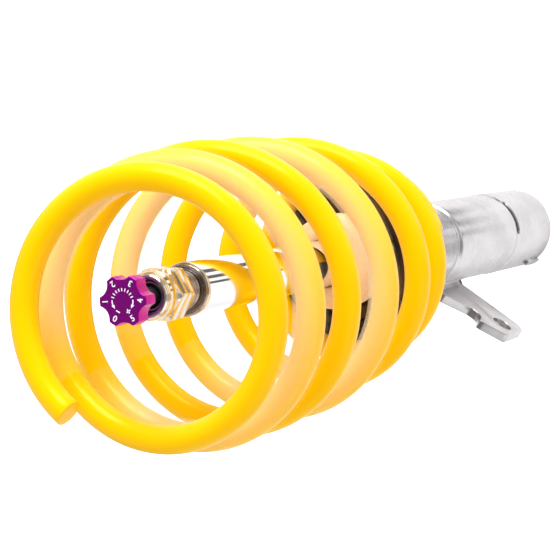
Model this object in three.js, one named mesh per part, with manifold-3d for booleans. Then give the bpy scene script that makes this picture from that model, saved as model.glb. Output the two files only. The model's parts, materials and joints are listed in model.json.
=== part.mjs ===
// Coilover strut: a MacPherson-strut damper with a threaded body, a height-adjustable
// spring perch, a barrel spring and a rebound adjuster on the end of its piston rod.
// Millimetres. +Z runs up the strut axis; the origin is the centre of the flat foot.
// The sway-bar link bracket points along +X and its hole runs along Y.

import * as THREE from 'three';
import { mergeVertices } from 'three/addons/utils/BufferGeometryUtils.js';
import Module from 'manifold-3d';

const wasm = await Module();
wasm.setup();

// ---------------------------------------------------------------- driving dimensions

const gap = 0.3; // between pieces that touch
const slip = 0.4; // radial room round a piece that slides or turns
const sides = 32; // facets round the large turned pieces
const innerSides = 18; // facets round the small and hidden ones

// Rebound adjuster's stem, which everything round it is sized from
const stemRadius = 4;
const shaftRadius = 2.9;
const ringRoom = 1.5; // stem's side out to the bore of the rod's end
const studWall = 1.5;

// Piston rod
const rodRadius = 12;
const exposedRod = 182; // from the top of the gland cap to the rod's shoulder
const studCollarStep = 1.8; // how far the collar stands out round the stud
const studCollarLength = 12.2;
const studLength = 19;
const tenonRadius = 6.5;
const tenonLength = 34;
const strokeRoom = 12; // guide down to the rod's lower shoulder

// Twin-tube damper round the rod
const pistonAnnulus = 4; // rod's side out to the pressure tube's bore
const pressureWall = 1.5;
const oilReserve = 2.5; // pressure tube out to the strut tube's bore
const footPlugLength = 9;
const footValveLength = 17;
const footValveNeck = 8;
const valveFlangeHeight = 10.4;
const guideLength = 22;
const guideSpigot = 10;
const guideDepth = 11; // tube's rim down to the guide
const bushWall = 1.5;
const wiperWall = 2.5;
const wiperLength = 4;
const sealLength = 6;
const capFlangeLength = 6;

// Outer tube
const tubeWall = 2.5; // at the thread's crests
const shoulderStep = 2; // plain length over the thread
const clampStep = 0.5; // clamped length over the plain one
const clampLength = 70; // foot up to the shallow step
const shoulderHeight = 170; // where the threaded length begins
const tubeHeight = 279;
const footRounding = 2.5;

// Piston on the rod's tenon
const pistonLength = 16;
const bandLength = 8;
const shimLength = 3;
const shimRadius = 11;
const pistonSlack = 0.6;
const bandGroove = 1.7;
const pistonNutFlats = 19;
const pistonNutLength = 9;

// Lock nut with its nylon ring
const nutFlats = 22;
const nutHexLength = 13.8;
const nutCollarLength = 8.2;
const nutCollarStep = 0.4; // how far the domed collar stands in from the flats

// Rebound dial
const knobRadius = 11;
const knobThickness = 8.3;
const knobLobes = 6;
const knobScallop = 2.1;
const knobLobeTip = 10; // degrees of full radius to each side of a lobe's middle
const knobStandOff = 11.5; // nut's top face up to the knob's back
const knobFirstLobe = 37; // degrees
const screwRadius = 1.2;

// Bump stop on the rod
const bumpRadius = 24.5;
const bumpLength = 28;

// Spring perch
const seatDepth = 9.7; // tube's rim down to the face that the spring stands on
const collarWall = 8.1;
const collarFlangeRadius = 43;
const collarLength = 18;
const collarFlangeLength = 5;
const lockRingLength = 7;
const collarSlots = 8;
const collarSlotDepth = 3.5;
const collarSlotWidth = 8;
const plateRadius = 46;
const plateThickness = 3;
const plateHubRadius = 33;
const plateHubLength = 10.5;
const padRadius = 48;
const padThickness = 3.4;

// Spring: wire centre radius at each whole turn from the top, and the drop over each turn
const wireRadius = 6.25;
const sleeveWall = 1.15;
const springRadii = [54, 57.8, 62.1, 61.9, 61.8, 56, 48, 45.5];
const springDrops = [26.5, 30.5, 40.3, 48.6, 52.6, 38.4, 4];
const springTurns = 6.6;
const springStart = -92.1; // degrees, where the cut end at the top stands
const springLean = [4.1, -3.3]; // how far the free top stands off the axis, along X and Y
const stepsPerTurn = 20;
const wireSides = 10;
const sleeveTurns = [[1.05, 2.05], [3.05, 4.05]];

// Sway-bar link bracket: outline in X and height, flat against the tube's -Y side
const bracketThickness = 5.5;
const bracketBase = 95.5;
const bracketReach = 62;
const bracketRoot = -13;
const bracketHeight = 43.5;
const linkHoleRadius = 6;
const linkHole = [52, 19.5]; // X, and height over the bracket's lower edge
const tabAngle = -20; // degrees, the locating tab near the foot
const tabSize = [2.2, 5, 22]; // proud of the tube, wide, long

// ---------------------------------------------------------------- derived radii

const counterbore = stemRadius + ringRoom;
const studRadius = counterbore + studWall;
const studCollarRadius = studRadius + studCollarStep;
const rodBore = shaftRadius + slip;
const needleRadius = shaftRadius - gap;
const pressureBore = rodRadius + pistonAnnulus;
const tubeBore = pressureBore + pressureWall + oilReserve;
const threadRadius = tubeBore + tubeWall;
const tubeRadius = threadRadius + shoulderStep;
const clampRadius = tubeRadius + clampStep;
const nutCollarRadius = nutFlats / 2 - nutCollarStep;
const collarBore = threadRadius + slip;
const collarRadius = collarBore + collarWall;

// ---------------------------------------------------------------- derived heights

const pressureFoot = footPlugLength + gap + valveFlangeHeight;
const capBottom = tubeHeight + gap;
const capTop = capBottom + capFlangeLength;
const rodShoulder = capTop + exposedRod;
const guideTop = tubeHeight - guideDepth;
const guideFlange = guideTop - guideLength + guideSpigot;
const guideBottom = guideTop - guideLength;
const rodBottom = guideBottom - strokeRoom;
const tenonEnd = rodBottom - tenonLength;
const nutBottom = rodShoulder + studCollarLength + gap;
const nutTop = nutBottom + nutHexLength + nutCollarLength;
const studTop = rodShoulder + studCollarLength + studLength;
const knobBack = nutTop + knobStandOff;
const seatHeight = tubeHeight - seatDepth;
const padBottom = seatHeight - gap - padThickness;
const plateBottom = padBottom - gap - plateThickness;
const collarTop = plateBottom - gap;

// ---------------------------------------------------------------- the spring's centre line

const springDropTotal = springDrops.reduce((sum, drop) => sum + drop, 0);

// A smooth curve through the values at whole turns: X counts turns, Y is the wire centre's
// distance from the axis and Z how far it has dropped.
const springShape = new THREE.CatmullRomCurve3(springRadii.map((radius, turn) => {
  const drop = springDrops.slice(0, turn).reduce((sum, step) => sum + step, 0);
  return new THREE.Vector3(turn, radius, drop);
}), false, 'catmullrom', 0.5);

function springAt(turn) {
  const { y: radius, z: drop } = springShape.getPoint(turn / (springRadii.length - 1));
  return { radius, drop };
}

const stations = Math.round(springTurns * stepsPerTurn);
const lowestDrop = Math.max(...Array.from(
  { length: stations + 1 },
  (_, i) => springAt((springTurns * i) / stations).drop,
));
const springTop = seatHeight + wireRadius + lowestDrop;

// The wire's centre line, which runs clockwise seen from above. `from` and `to` count turns
// down from the cut end. That end leans off the axis by springLean, which fades to nothing
// at the seat.
class BarrelHelix extends THREE.Curve {
  constructor(from, to) {
    super();
    this.from = from;
    this.to = to;
  }

  turnAt(u) {
    return this.from + (this.to - this.from) * u;
  }

  getPoint(u, target = new THREE.Vector3()) {
    const turn = this.turnAt(u);
    const { radius, drop } = springAt(turn);
    const angle = THREE.MathUtils.degToRad(springStart - 360 * turn);
    const lean = 1 - drop / springDropTotal;
    return target.set(
      radius * Math.cos(angle) + lean * springLean[0],
      radius * Math.sin(angle) + lean * springLean[1],
      springTop - drop,
    );
  }

  // Stations lie at equal parts of a turn, so a sleeve's facets lie on the wire's.
  getUtoTmapping(u) {
    return u;
  }

  // Each section's sides stand square to the wire and to the spring's own radius.
  computeFrenetFrames(segments) {
    const frames = { tangents: [], normals: [], binormals: [] };
    for (let i = 0; i <= segments; i += 1) {
      const u = i / segments;
      const angle = THREE.MathUtils.degToRad(springStart - 360 * this.turnAt(u));
      const outward = new THREE.Vector3(Math.cos(angle), Math.sin(angle), 0);
      const tangent = this.getTangent(u);
      const binormal = new THREE.Vector3().crossVectors(tangent, outward).normalize();
      frames.tangents.push(tangent);
      frames.binormals.push(binormal);
      frames.normals.push(new THREE.Vector3().crossVectors(binormal, tangent));
    }
    return frames;
  }
}

// ---------------------------------------------------------------- helpers

const coilover = new THREE.Group();

const metal = (color, roughness) => new THREE.MeshStandardMaterial({ color, roughness, metalness: 1 });
const plastic = (color, roughness) => new THREE.MeshStandardMaterial({ color, roughness, metalness: 0 });

const finishes = {
  stainless: metal(0xc9c8cc, 0.3),
  chrome: metal(0xd8d8da, 0.08),
  zinc: metal(0xcfc79a, 0.25),
  steel: metal(0x8c8c8e, 0.4),
  castAlloy: metal(0xa9a9a6, 0.45),
  purple: metal(0x7a1490, 0.3),
  blackAlloy: metal(0x1b1918, 0.5),
  springYellow: plastic(0xf7c600, 0.25),
  milkySleeve: plastic(0xf0dca0, 0.35),
  creamFoam: plastic(0xf0c891, 0.85),
  nylon: plastic(0x3b3560, 0.4),
  blackRubber: plastic(0x161616, 0.8),
  ptfe: plastic(0x4a4d3a, 0.5),
};

// A closed body with shared corners and no collapsed triangles.
function weld(geometry) {
  const bare = geometry.clone();
  bare.deleteAttribute('normal');
  bare.deleteAttribute('uv');
  const merged = mergeVertices(bare, 1e-4);
  const kept = [];
  for (let i = 0; i < merged.index.count; i += 3) {
    const [a, b, c] = [0, 1, 2].map((k) => merged.index.getX(i + k));
    if (a !== b && b !== c && c !== a) kept.push(a, b, c);
  }
  merged.setIndex(kept);
  return merged;
}

function toSolid(geometry) {
  const closed = weld(geometry);
  return new wasm.Manifold(new wasm.Mesh({
    numProp: 3,
    vertProperties: Float32Array.from(closed.attributes.position.array),
    triVerts: Uint32Array.from(closed.index.array),
  }));
}

function toGeometry(solid) {
  const mesh = solid.getMesh();
  const geometry = new THREE.BufferGeometry();
  geometry.setAttribute('position', new THREE.BufferAttribute(mesh.vertProperties, 3));
  geometry.setIndex(new THREE.BufferAttribute(mesh.triVerts, 1));
  return geometry;
}

function cut(body, ...tools) {
  return toGeometry(tools.reduce((solid, tool) => solid.subtract(toSolid(tool)), toSolid(body)));
}

function join(...pieces) {
  const [first, ...rest] = pieces.map(toSolid);
  return toGeometry(rest.reduce((solid, piece) => solid.add(piece), first));
}

// Turns a profile of [radius, height] points round Z. Going up the outside keeps faces out.
function turned(profile, segments = innerSides) {
  const points = profile.map(([r, z]) => new THREE.Vector2(r, z));
  if (profile[0][0] > 0) points.push(points[0].clone());
  return weld(new THREE.LatheGeometry(points, segments).rotateX(Math.PI / 2));
}

function ring(inner, outer, bottom, top, segments = innerSides) {
  return turned([[inner, bottom], [outer, bottom], [outer, top], [inner, top]], segments);
}

function disc(radius, bottom, top, segments = innerSides) {
  return turned([[0, bottom], [radius, bottom], [radius, top], [0, top]], segments);
}

function block(size, centre) {
  return new THREE.BoxGeometry(...size).translate(...centre);
}

function aroundZ(geometry, degrees) {
  return geometry.rotateZ(THREE.MathUtils.degToRad(degrees));
}

// A prism standing on `bottom`, from an outline of [x, y] points.
function prism(outline, bottom, height) {
  const shape = new THREE.Shape(outline.map(([x, y]) => new THREE.Vector2(x, y)));
  const options = { depth: height, bevelEnabled: false };
  return new THREE.ExtrudeGeometry(shape, options).translate(0, 0, bottom);
}

function hexagon(acrossFlats, firstCorner) {
  const corner = acrossFlats / Math.sqrt(3);
  return Array.from({ length: 6 }, (_, i) => {
    const angle = THREE.MathUtils.degToRad(firstCorner + 60 * i);
    return [corner * Math.cos(angle), corner * Math.sin(angle)];
  });
}

function add(name, geometry, material) {
  const mesh = new THREE.Mesh(geometry, material);
  mesh.name = name;
  coilover.add(mesh);
}

// ---------------------------------------------------------------- strut body

add('strut_tube', turned([
  [tubeBore, 0],
  [clampRadius - footRounding, 0],
  [clampRadius - 0.7, 0.8],
  [clampRadius, footRounding],
  [clampRadius, clampLength],
  [tubeRadius, clampLength + 0.5],
  [tubeRadius, shoulderHeight - 1],
  [threadRadius, shoulderHeight + 1],
  [threadRadius, tubeHeight],
  [tubeBore, tubeHeight],
], sides), finishes.stainless);

add('foot_plug', disc(tubeBore - gap, 0, footPlugLength, sides), finishes.stainless);

function bracketOutline() {
  const top = bracketBase + bracketHeight;
  const outline = new THREE.Shape();
  outline.moveTo(bracketRoot, bracketBase);
  outline.lineTo(bracketReach - 5, bracketBase);
  outline.lineTo(bracketReach, bracketBase + 5);
  outline.lineTo(bracketReach, top - 11);
  outline.lineTo(bracketReach - 1, top - 9.5);
  outline.lineTo(47, top - 2);
  outline.quadraticCurveTo(44, top - 1.5, 43.5, top - 5);
  outline.quadraticCurveTo(42, top - 12, 34, top - 12);
  outline.lineTo(19, top);
  outline.lineTo(bracketRoot, top);
  const hole = new THREE.Path();
  hole.absarc(linkHole[0], bracketBase + linkHole[1], linkHoleRadius, 0, 2 * Math.PI, true);
  outline.holes.push(hole);
  return outline;
}

const bracketFace = clampRadius + gap;
add('link_bracket', weld(new THREE.ExtrudeGeometry(bracketOutline(), {
  depth: bracketThickness,
  bevelEnabled: false,
  curveSegments: 10,
}).rotateX(Math.PI / 2).translate(0, -bracketFace, 0)), finishes.stainless);

// The weld fills the wedge between the tube and the bracket, with a hollow throat.
const weldReach = 14;
const weldCorner = Math.sqrt((tubeRadius + gap) ** 2 - (weldReach - 4) ** 2);
const wedge = prism([
  [4, -bracketFace + gap],
  [weldReach, -bracketFace + gap],
  [weldReach - 2.5, -bracketFace + 1.6],
  [weldReach - 4, -weldCorner + 0.6],
  [4, -weldCorner + 0.6],
], bracketBase + 1.5, bracketHeight - 3);
add('bracket_weld', cut(wedge, disc(tubeRadius + gap, 0, shoulderHeight, 72)), finishes.stainless);

add('locating_tab', cut(
  aroundZ(block([tabSize[0] + 2, tabSize[1], tabSize[2]], [clampRadius, 0, 2 + tabSize[2] / 2]), tabAngle),
  disc(clampRadius + gap, -1, tabSize[2] + 5, 72),
), finishes.stainless);

add('pressure_tube', ring(
  pressureBore,
  pressureBore + pressureWall,
  pressureFoot + gap,
  guideFlange - gap,
  sides,
), finishes.steel);

const valveBase = footPlugLength + gap;
const valveBolt = 3;
add('foot_valve', cut(turned([
  [valveBolt + gap, valveBase + 4],
  [footValveNeck, valveBase + 4],
  [footValveNeck, valveBase],
  [pressureBore + pressureWall, valveBase],
  [pressureBore + pressureWall, pressureFoot],
  [pressureBore - gap, pressureFoot],
  [pressureBore - gap, valveBase + footValveLength],
  [valveBolt + gap, valveBase + footValveLength],
]), block([60, 6, 8], [0, 0, valveBase]), block([6, 60, 8], [0, 0, valveBase])), finishes.steel);

const valveDiscBottom = valveBase + footValveLength + gap;
add('foot_valve_disc', ring(valveBolt + gap, 12, valveDiscBottom, valveDiscBottom + 1), finishes.steel);
add('foot_valve_bolt', turned([
  [0, valveBase + 5],
  [valveBolt, valveBase + 5],
  [valveBolt, valveDiscBottom + 1 + gap],
  [5.5, valveDiscBottom + 1 + gap],
  [5.5, valveDiscBottom + 5],
  [0, valveDiscBottom + 5],
]), finishes.steel);

const bushRadius = rodRadius + slip + bushWall;
add('rod_guide', turned([
  [bushRadius + gap, guideBottom],
  [pressureBore - gap, guideBottom],
  [pressureBore - gap, guideFlange],
  [tubeBore - gap, guideFlange],
  [tubeBore - gap, guideTop],
  [bushRadius + gap, guideTop],
]), finishes.castAlloy);
add('guide_bush', ring(rodRadius + slip, bushRadius, guideBottom + 1, guideTop - 1), finishes.ptfe);
add('rod_seal', ring(
  rodRadius + slip,
  tubeBore - gap,
  guideTop + gap,
  guideTop + gap + sealLength,
), finishes.blackRubber);

const capSpigot = guideTop + sealLength + 2 * gap;
const wiperRadius = rodRadius + slip + wiperWall;
add('gland_cap', turned([
  [rodRadius + slip, capSpigot],
  [tubeBore - gap, capSpigot],
  [tubeBore - gap, capBottom],
  [threadRadius, capBottom],
  [threadRadius, capTop - 1],
  [threadRadius - 1, capTop],
  [wiperRadius + gap, capTop],
  [wiperRadius + gap, capTop - wiperLength],
  [rodRadius + slip, capTop - wiperLength],
], sides), finishes.stainless);
const wiperBottom = capTop - wiperLength;
add('rod_wiper', ring(rodRadius + slip, wiperRadius, wiperBottom + gap, capTop - gap), finishes.blackRubber);

// ---------------------------------------------------------------- piston rod

add('piston_rod', turned([
  [rodBore, tenonEnd],
  [tenonRadius, tenonEnd],
  [tenonRadius, rodBottom],
  [rodRadius, rodBottom],
  [rodRadius, rodShoulder - 0.8],
  [rodRadius - 0.8, rodShoulder],
  [studCollarRadius, rodShoulder],
  [studCollarRadius, rodShoulder + studCollarLength],
  [studRadius, rodShoulder + studCollarLength],
  [studRadius, studTop],
  [counterbore, studTop],
  [counterbore, rodShoulder + studCollarLength],
  [rodBore, rodShoulder + studCollarLength],
], sides), finishes.chrome);

const nutHex = prism(hexagon(nutFlats, 33), nutBottom, nutHexLength);
const nutDome = turned([
  [0, nutBottom + nutHexLength - 1],
  [nutCollarRadius, nutBottom + nutHexLength - 1],
  [nutCollarRadius, nutTop - 3],
  [nutCollarRadius - 1.4, nutTop - 0.6],
  [nutCollarRadius - 2.4, nutTop],
  [0, nutTop],
], sides);
const nylonRadius = nutCollarRadius - 1.6;
const nylonBottom = nutTop - 5.6;
const nylonTop = nylonBottom + 4;
add('rod_nut', cut(
  join(nutHex, nutDome),
  disc(studRadius + gap, nutBottom - 1, nutTop + 1, sides),
  disc(nylonRadius, nylonBottom - gap, nutTop - 1.2, sides),
), finishes.zinc);
add('nylon_ring', ring(
  studRadius + gap,
  nylonRadius - gap,
  nylonBottom,
  nylonTop,
  sides,
), finishes.nylon);

const upperShims = rodBottom - gap - shimLength;
const pistonBottom = upperShims - gap - pistonLength;
const lowerShims = pistonBottom - gap - shimLength;
const tenonBore = tenonRadius + gap;
const bandBottom = pistonBottom + (pistonLength - bandLength) / 2;
add('rebound_shims', ring(tenonBore, shimRadius, upperShims, upperShims + shimLength), finishes.steel);
add('piston', turned([
  [tenonBore, pistonBottom],
  [pressureBore - pistonSlack, pistonBottom],
  [pressureBore - pistonSlack, bandBottom],
  [pressureBore - bandGroove, bandBottom],
  [pressureBore - bandGroove, bandBottom + bandLength],
  [pressureBore - pistonSlack, bandBottom + bandLength],
  [pressureBore - pistonSlack, pistonBottom + pistonLength],
  [tenonBore, pistonBottom + pistonLength],
]), finishes.steel);
add('piston_band', ring(
  pressureBore - bandGroove + gap,
  pressureBore - slip,
  bandBottom + gap,
  bandBottom + bandLength - gap,
), finishes.ptfe);
add('compression_shims', ring(tenonBore, shimRadius, lowerShims, lowerShims + shimLength), finishes.steel);
add('piston_nut', cut(
  prism(hexagon(pistonNutFlats, 0), lowerShims - gap - pistonNutLength, pistonNutLength),
  disc(tenonBore, lowerShims - 12, lowerShims + 1),
), finishes.steel);
add('rebound_stop', ring(
  rodRadius + gap,
  pressureBore - 1,
  rodBottom + 1,
  rodBottom + 8,
), finishes.blackRubber);
const detentHeight = rodShoulder + studCollarLength + 1;
const detentBody = ring(stemRadius + slip, counterbore - gap, detentHeight, detentHeight + 2);
add('detent_ring', detentBody, finishes.steel);

// ---------------------------------------------------------------- rebound adjuster

const stemBottom = rodShoulder + studCollarLength + gap;
const socketDepth = 5.5;
const oRingHeight = studTop - 5;
const shaftBottom = tenonEnd + 18;
add('adjuster_shaft', turned([
  [0, shaftBottom],
  [shaftRadius, shaftBottom],
  [shaftRadius, stemBottom],
  [stemRadius, stemBottom],
  [stemRadius, oRingHeight],
  [stemRadius - 0.8, oRingHeight],
  [stemRadius - 0.8, oRingHeight + 1.8],
  [stemRadius, oRingHeight + 1.8],
  [stemRadius, knobBack + socketDepth - gap],
  [0, knobBack + socketDepth - gap],
], innerSides), finishes.blackAlloy);
add('stem_o_ring', ring(
  stemRadius - 0.8 + gap,
  counterbore - gap,
  oRingHeight + gap,
  oRingHeight + 1.8 - gap,
), finishes.blackRubber);

// The knob's edge: round cutters bite a hollow scallop between each two lobes.
function knobOutline() {
  const pitch = 360 / knobLobes;
  const tipSteps = 4;
  const hollowSteps = 10;
  const deepest = knobRadius - knobScallop;
  const meet = Math.cos(THREE.MathUtils.degToRad(pitch / 2 - knobLobeTip));
  const cutter = (knobRadius ** 2 + deepest ** 2 - 2 * knobRadius * deepest * meet)
    / (2 * (knobRadius * meet - deepest));
  const centre = deepest + cutter;
  const points = [];
  const place = (radius, turn, lobe) => {
    const angle = THREE.MathUtils.degToRad(knobFirstLobe + lobe * pitch + turn);
    points.push([radius * Math.cos(angle), radius * Math.sin(angle)]);
  };
  for (let lobe = 0; lobe < knobLobes; lobe += 1) {
    for (let i = 0; i <= tipSteps; i += 1) {
      place(knobRadius, knobLobeTip * ((2 * i) / tipSteps - 1), lobe);
    }
    for (let i = 1; i < hollowSteps; i += 1) {
      const turn = knobLobeTip + ((pitch - 2 * knobLobeTip) * i) / hollowSteps;
      const off = THREE.MathUtils.degToRad(turn - pitch / 2);
      const reach = Math.sqrt(cutter ** 2 - (centre * Math.sin(off)) ** 2);
      place(centre * Math.cos(off) - reach, turn, lobe);
    }
  }
  return points;
}
const screwHeight = knobBack + 2.8;
const screwAngle = knobFirstLobe + 180 / knobLobes;
const screwInset = 1; // from the dial's hollow in to the screw's end
const screwBase = stemRadius + gap + 0.2;
const screwLength = knobRadius - knobScallop - screwInset - screwBase;
const screwBore = new THREE.CylinderGeometry(screwRadius + gap, screwRadius + gap, knobRadius, 12)
  .rotateZ(Math.PI / 2).translate(knobRadius / 2 + 2, 0, screwHeight);
add('adjuster_knob', cut(
  prism(knobOutline(), knobBack, knobThickness),
  disc(stemRadius + gap, knobBack - 1, knobBack + socketDepth),
  aroundZ(screwBore, screwAngle),
), finishes.purple);
const screwBody = new THREE.CylinderGeometry(screwRadius, screwRadius, screwLength, 12)
  .rotateZ(Math.PI / 2).translate(screwBase + screwLength / 2, 0, screwHeight);
add('knob_grub_screw', aroundZ(screwBody, screwAngle), finishes.steel);

add('metering_needle', turned([
  [0, tenonEnd + 1],
  [0.8, tenonEnd + 1],
  [needleRadius, tenonEnd + 7],
  [needleRadius, shaftBottom - 2.5],
  [0, shaftBottom - 2.5],
]), finishes.steel);

// ---------------------------------------------------------------- bump stop

const bumpBottom = capTop + gap + 1.5;
const washerBody = ring(rodRadius + slip, threadRadius, capTop + gap, bumpBottom - gap);
add('bump_washer', washerBody, finishes.blackRubber);
add('bump_stop', turned([
  [rodRadius + slip, bumpBottom],
  [bumpRadius - 1.5, bumpBottom],
  [bumpRadius, bumpBottom + 2],
  [bumpRadius, bumpBottom + 0.38 * bumpLength],
  [bumpRadius - 3, bumpBottom + 0.5 * bumpLength],
  [bumpRadius - 1, bumpBottom + 0.64 * bumpLength],
  [bumpRadius - 2, bumpBottom + 0.88 * bumpLength],
  [bumpRadius - 5, bumpBottom + bumpLength],
  [rodRadius + slip, bumpBottom + bumpLength],
], sides), finishes.creamFoam);

// ---------------------------------------------------------------- spring perch

const collarBottom = collarTop - collarLength;
function notches(radius, depth, bottom, height) {
  return Array.from({ length: collarSlots }, (_, i) => aroundZ(
    block([2 * depth, collarSlotWidth, height], [radius, 0, bottom + height / 2]),
    (360 / collarSlots) * i,
  ));
}
add('perch_collar', cut(turned([
  [collarBore, collarBottom],
  [collarRadius, collarBottom],
  [collarRadius, collarTop - collarFlangeLength],
  [collarFlangeRadius, collarTop - collarFlangeLength + 1],
  [collarFlangeRadius, collarTop],
  [collarBore, collarTop],
], sides), ...notches(collarRadius, collarSlotDepth, collarBottom - 1, 10)), finishes.blackAlloy);
const lockTop = collarBottom - gap;
add('lock_ring', cut(
  ring(collarBore, collarRadius, lockTop - lockRingLength, lockTop, sides),
  ...notches(collarRadius, collarSlotDepth, lockTop - lockRingLength - 1, lockRingLength + 2),
), finishes.blackAlloy);

const plateTop = plateBottom + plateHubLength;
const plateBore = threadRadius + 2 * slip;
add('spring_plate', turned([
  [plateBore, plateBottom],
  [plateRadius, plateBottom],
  [plateRadius, plateBottom + plateThickness],
  [plateHubRadius, plateBottom + plateThickness],
  [plateHubRadius, plateTop - 1],
  [plateHubRadius - 1, plateTop],
  [plateBore, plateTop],
], sides), finishes.blackAlloy);
const lipOuter = Math.min(...springRadii) - wireRadius - 1.5;
add('spring_pad', turned([
  [plateHubRadius + gap, padBottom],
  [padRadius, padBottom],
  [padRadius, seatHeight - gap],
  [lipOuter, seatHeight - gap],
  [lipOuter - 1, seatHeight + 3.5],
  [plateHubRadius + 2 * gap + 1, seatHeight + 3.5],
  [plateHubRadius + gap, seatHeight + 2.5],
], sides), finishes.blackRubber);

// ---------------------------------------------------------------- spring

function circlePoints(radius) {
  return Array.from({ length: wireSides }, (_, i) => {
    const angle = (2 * Math.PI * i) / wireSides;
    return new THREE.Vector2(radius * Math.cos(angle), radius * Math.sin(angle));
  });
}

function alongWire(from, to, outer, inner = 0) {
  const section = new THREE.Shape(circlePoints(outer));
  if (inner > 0) section.holes.push(new THREE.Path(circlePoints(inner).reverse()));
  return weld(new THREE.ExtrudeGeometry(section, {
    steps: Math.round((to - from) * stepsPerTurn),
    extrudePath: new BarrelHelix(from, to),
    bevelEnabled: false,
  }));
}

add('main_spring', alongWire(0, springTurns, wireRadius), finishes.springYellow);
['upper_sleeve', 'lower_sleeve'].forEach((name, i) => {
  const [from, to] = sleeveTurns[i];
  const inner = wireRadius + gap + 0.1;
  add(name, alongWire(from, to, inner + sleeveWall, inner), finishes.milkySleeve);
});

export default coilover;
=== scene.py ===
# %% [markdown]
# # A coilover strut
# The real object is a car's front suspension strut: a tube that holds a damper, a chromed rod that
# slides in and out of it, a yellow barrel spring round the rod, and a small dial on the rod's end that
# sets how slowly the strut stretches again. The CAD model gives every part's place. This script keeps
# those places and makes the surfaces fine: real threads, rounded edges, and a finish for each part.

import json

import bmesh
import bpy
import numpy as np
from mathutils import Matrix, Vector


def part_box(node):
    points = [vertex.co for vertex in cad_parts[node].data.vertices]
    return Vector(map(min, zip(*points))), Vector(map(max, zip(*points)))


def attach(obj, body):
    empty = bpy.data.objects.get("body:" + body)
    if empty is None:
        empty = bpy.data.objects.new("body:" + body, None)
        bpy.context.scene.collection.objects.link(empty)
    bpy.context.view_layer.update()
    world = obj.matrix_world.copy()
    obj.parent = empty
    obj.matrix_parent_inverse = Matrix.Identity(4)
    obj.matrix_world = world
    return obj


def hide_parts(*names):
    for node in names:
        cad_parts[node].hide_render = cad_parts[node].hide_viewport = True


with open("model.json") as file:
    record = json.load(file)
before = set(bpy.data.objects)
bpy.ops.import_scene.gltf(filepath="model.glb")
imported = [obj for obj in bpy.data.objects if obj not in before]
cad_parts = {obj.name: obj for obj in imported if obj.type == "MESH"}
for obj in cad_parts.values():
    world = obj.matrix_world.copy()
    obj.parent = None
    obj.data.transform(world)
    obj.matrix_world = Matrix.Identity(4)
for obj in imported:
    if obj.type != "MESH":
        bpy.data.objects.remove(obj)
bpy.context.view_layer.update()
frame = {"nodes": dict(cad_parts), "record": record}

# %% [markdown]
# ## Units and sizes
# Shapes are worked out in millimetres, as a machinist would, and turned into metres when a mesh is
# made. Places are read from the CAD nodes' boxes, so a piece always stands where its node stands.

# %% Places read from the frame
MM = 0.001


def low(node):
    """The lowest corner of a CAD node, in millimetres."""
    return np.array(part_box(node)[0]) / MM


def high(node):
    """The highest corner of a CAD node, in millimetres."""
    return np.array(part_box(node)[1]) / MM


CLAMP_RADIUS = high("strut_tube")[0]
TUBE_RADIUS = CLAMP_RADIUS - 0.5
TUBE_TOP = high("strut_tube")[2]
THREAD_RADIUS = high("gland_cap")[0]
THREAD_PITCH = 2.0
TUBE_BORE = 20.0
ROD_RADIUS = 12.0
print("tube", round(float(TUBE_TOP), 1), "mm tall,", round(float(2 * CLAMP_RADIUS), 1), "mm across")

# %% [markdown]
# ## Surfaces from numbers
# Almost every part here is either turned on a lathe or drawn along a wire. Both are grids: rows of
# points, each row a closed ring. One function turns such a grid into quads, and the rest of the
# script only has to say where the points are.

# %% Grids into meshes
def ring_mesh(name, points, closed=False):
    """Quads over a (rows, columns, 3) grid in millimetres. Columns wrap round; rows wrap if `closed`.
    Rows that shrink to one point become poles when the doubles are merged."""
    rows, columns = points.shape[:2]
    index = np.arange(rows * columns).reshape(rows, columns)
    if closed:
        index = np.vstack([index, index[:1]])
    index = np.hstack([index, index[:, :1]])
    corners = [index[:-1, :-1], index[:-1, 1:], index[1:, 1:], index[1:, :-1]]
    faces = np.stack(corners, axis=-1).reshape(-1, 4)
    mesh = bpy.data.meshes.new(name)
    mesh.from_pydata((points.reshape(-1, 3) * MM).tolist(), [], faces.tolist())
    work = bmesh.new()
    work.from_mesh(mesh)
    bmesh.ops.remove_doubles(work, verts=work.verts, dist=1e-7)
    work.to_mesh(mesh)
    work.free()
    return mesh


def point_values(mesh, name, values):
    """Stores one number for each point of a ring mesh, for its material to read."""
    attribute = mesh.attributes.new(name, "FLOAT", "POINT")
    attribute.data.foreach_set("value", np.ascontiguousarray(values, dtype=np.float32).ravel())


def angles(columns):
    """`columns` equal steps round a circle, in radians."""
    return 2 * np.pi * np.arange(columns) / columns


def polar(radius, height, angle):
    """Points at a radius, height and angle; the three are spread over each other first."""
    radius, height, angle = np.broadcast_arrays(radius, height, angle)
    return np.stack([radius * np.cos(angle), radius * np.sin(angle), height], axis=-1)


def rounded(outline, radius, steps=5):
    """Rounds each corner of an outline of (radius, height) points with a small quadratic curve that
    starts and ends `radius` from the corner, or less where a side is short. A corner on the axis
    stays sharp."""
    corner = np.array(outline, dtype=float)
    before = np.roll(corner, 1, axis=0) - corner
    after = np.roll(corner, -1, axis=0) - corner
    before_length = np.linalg.norm(before, axis=1, keepdims=True)
    after_length = np.linalg.norm(after, axis=1, keepdims=True)
    reach = np.minimum(radius, 0.45 * np.minimum(before_length, after_length))
    reach = np.where(corner[:, :1] < 1e-6, 0.0, reach)
    start = corner + before / before_length * reach
    end = corner + after / after_length * reach
    t = np.linspace(0, 1, steps)[None, :, None]
    curve = (1 - t) ** 2 * start[:, None] + 2 * t * (1 - t) * corner[:, None] + t**2 * end[:, None]
    return curve.reshape(-1, 2)


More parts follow.
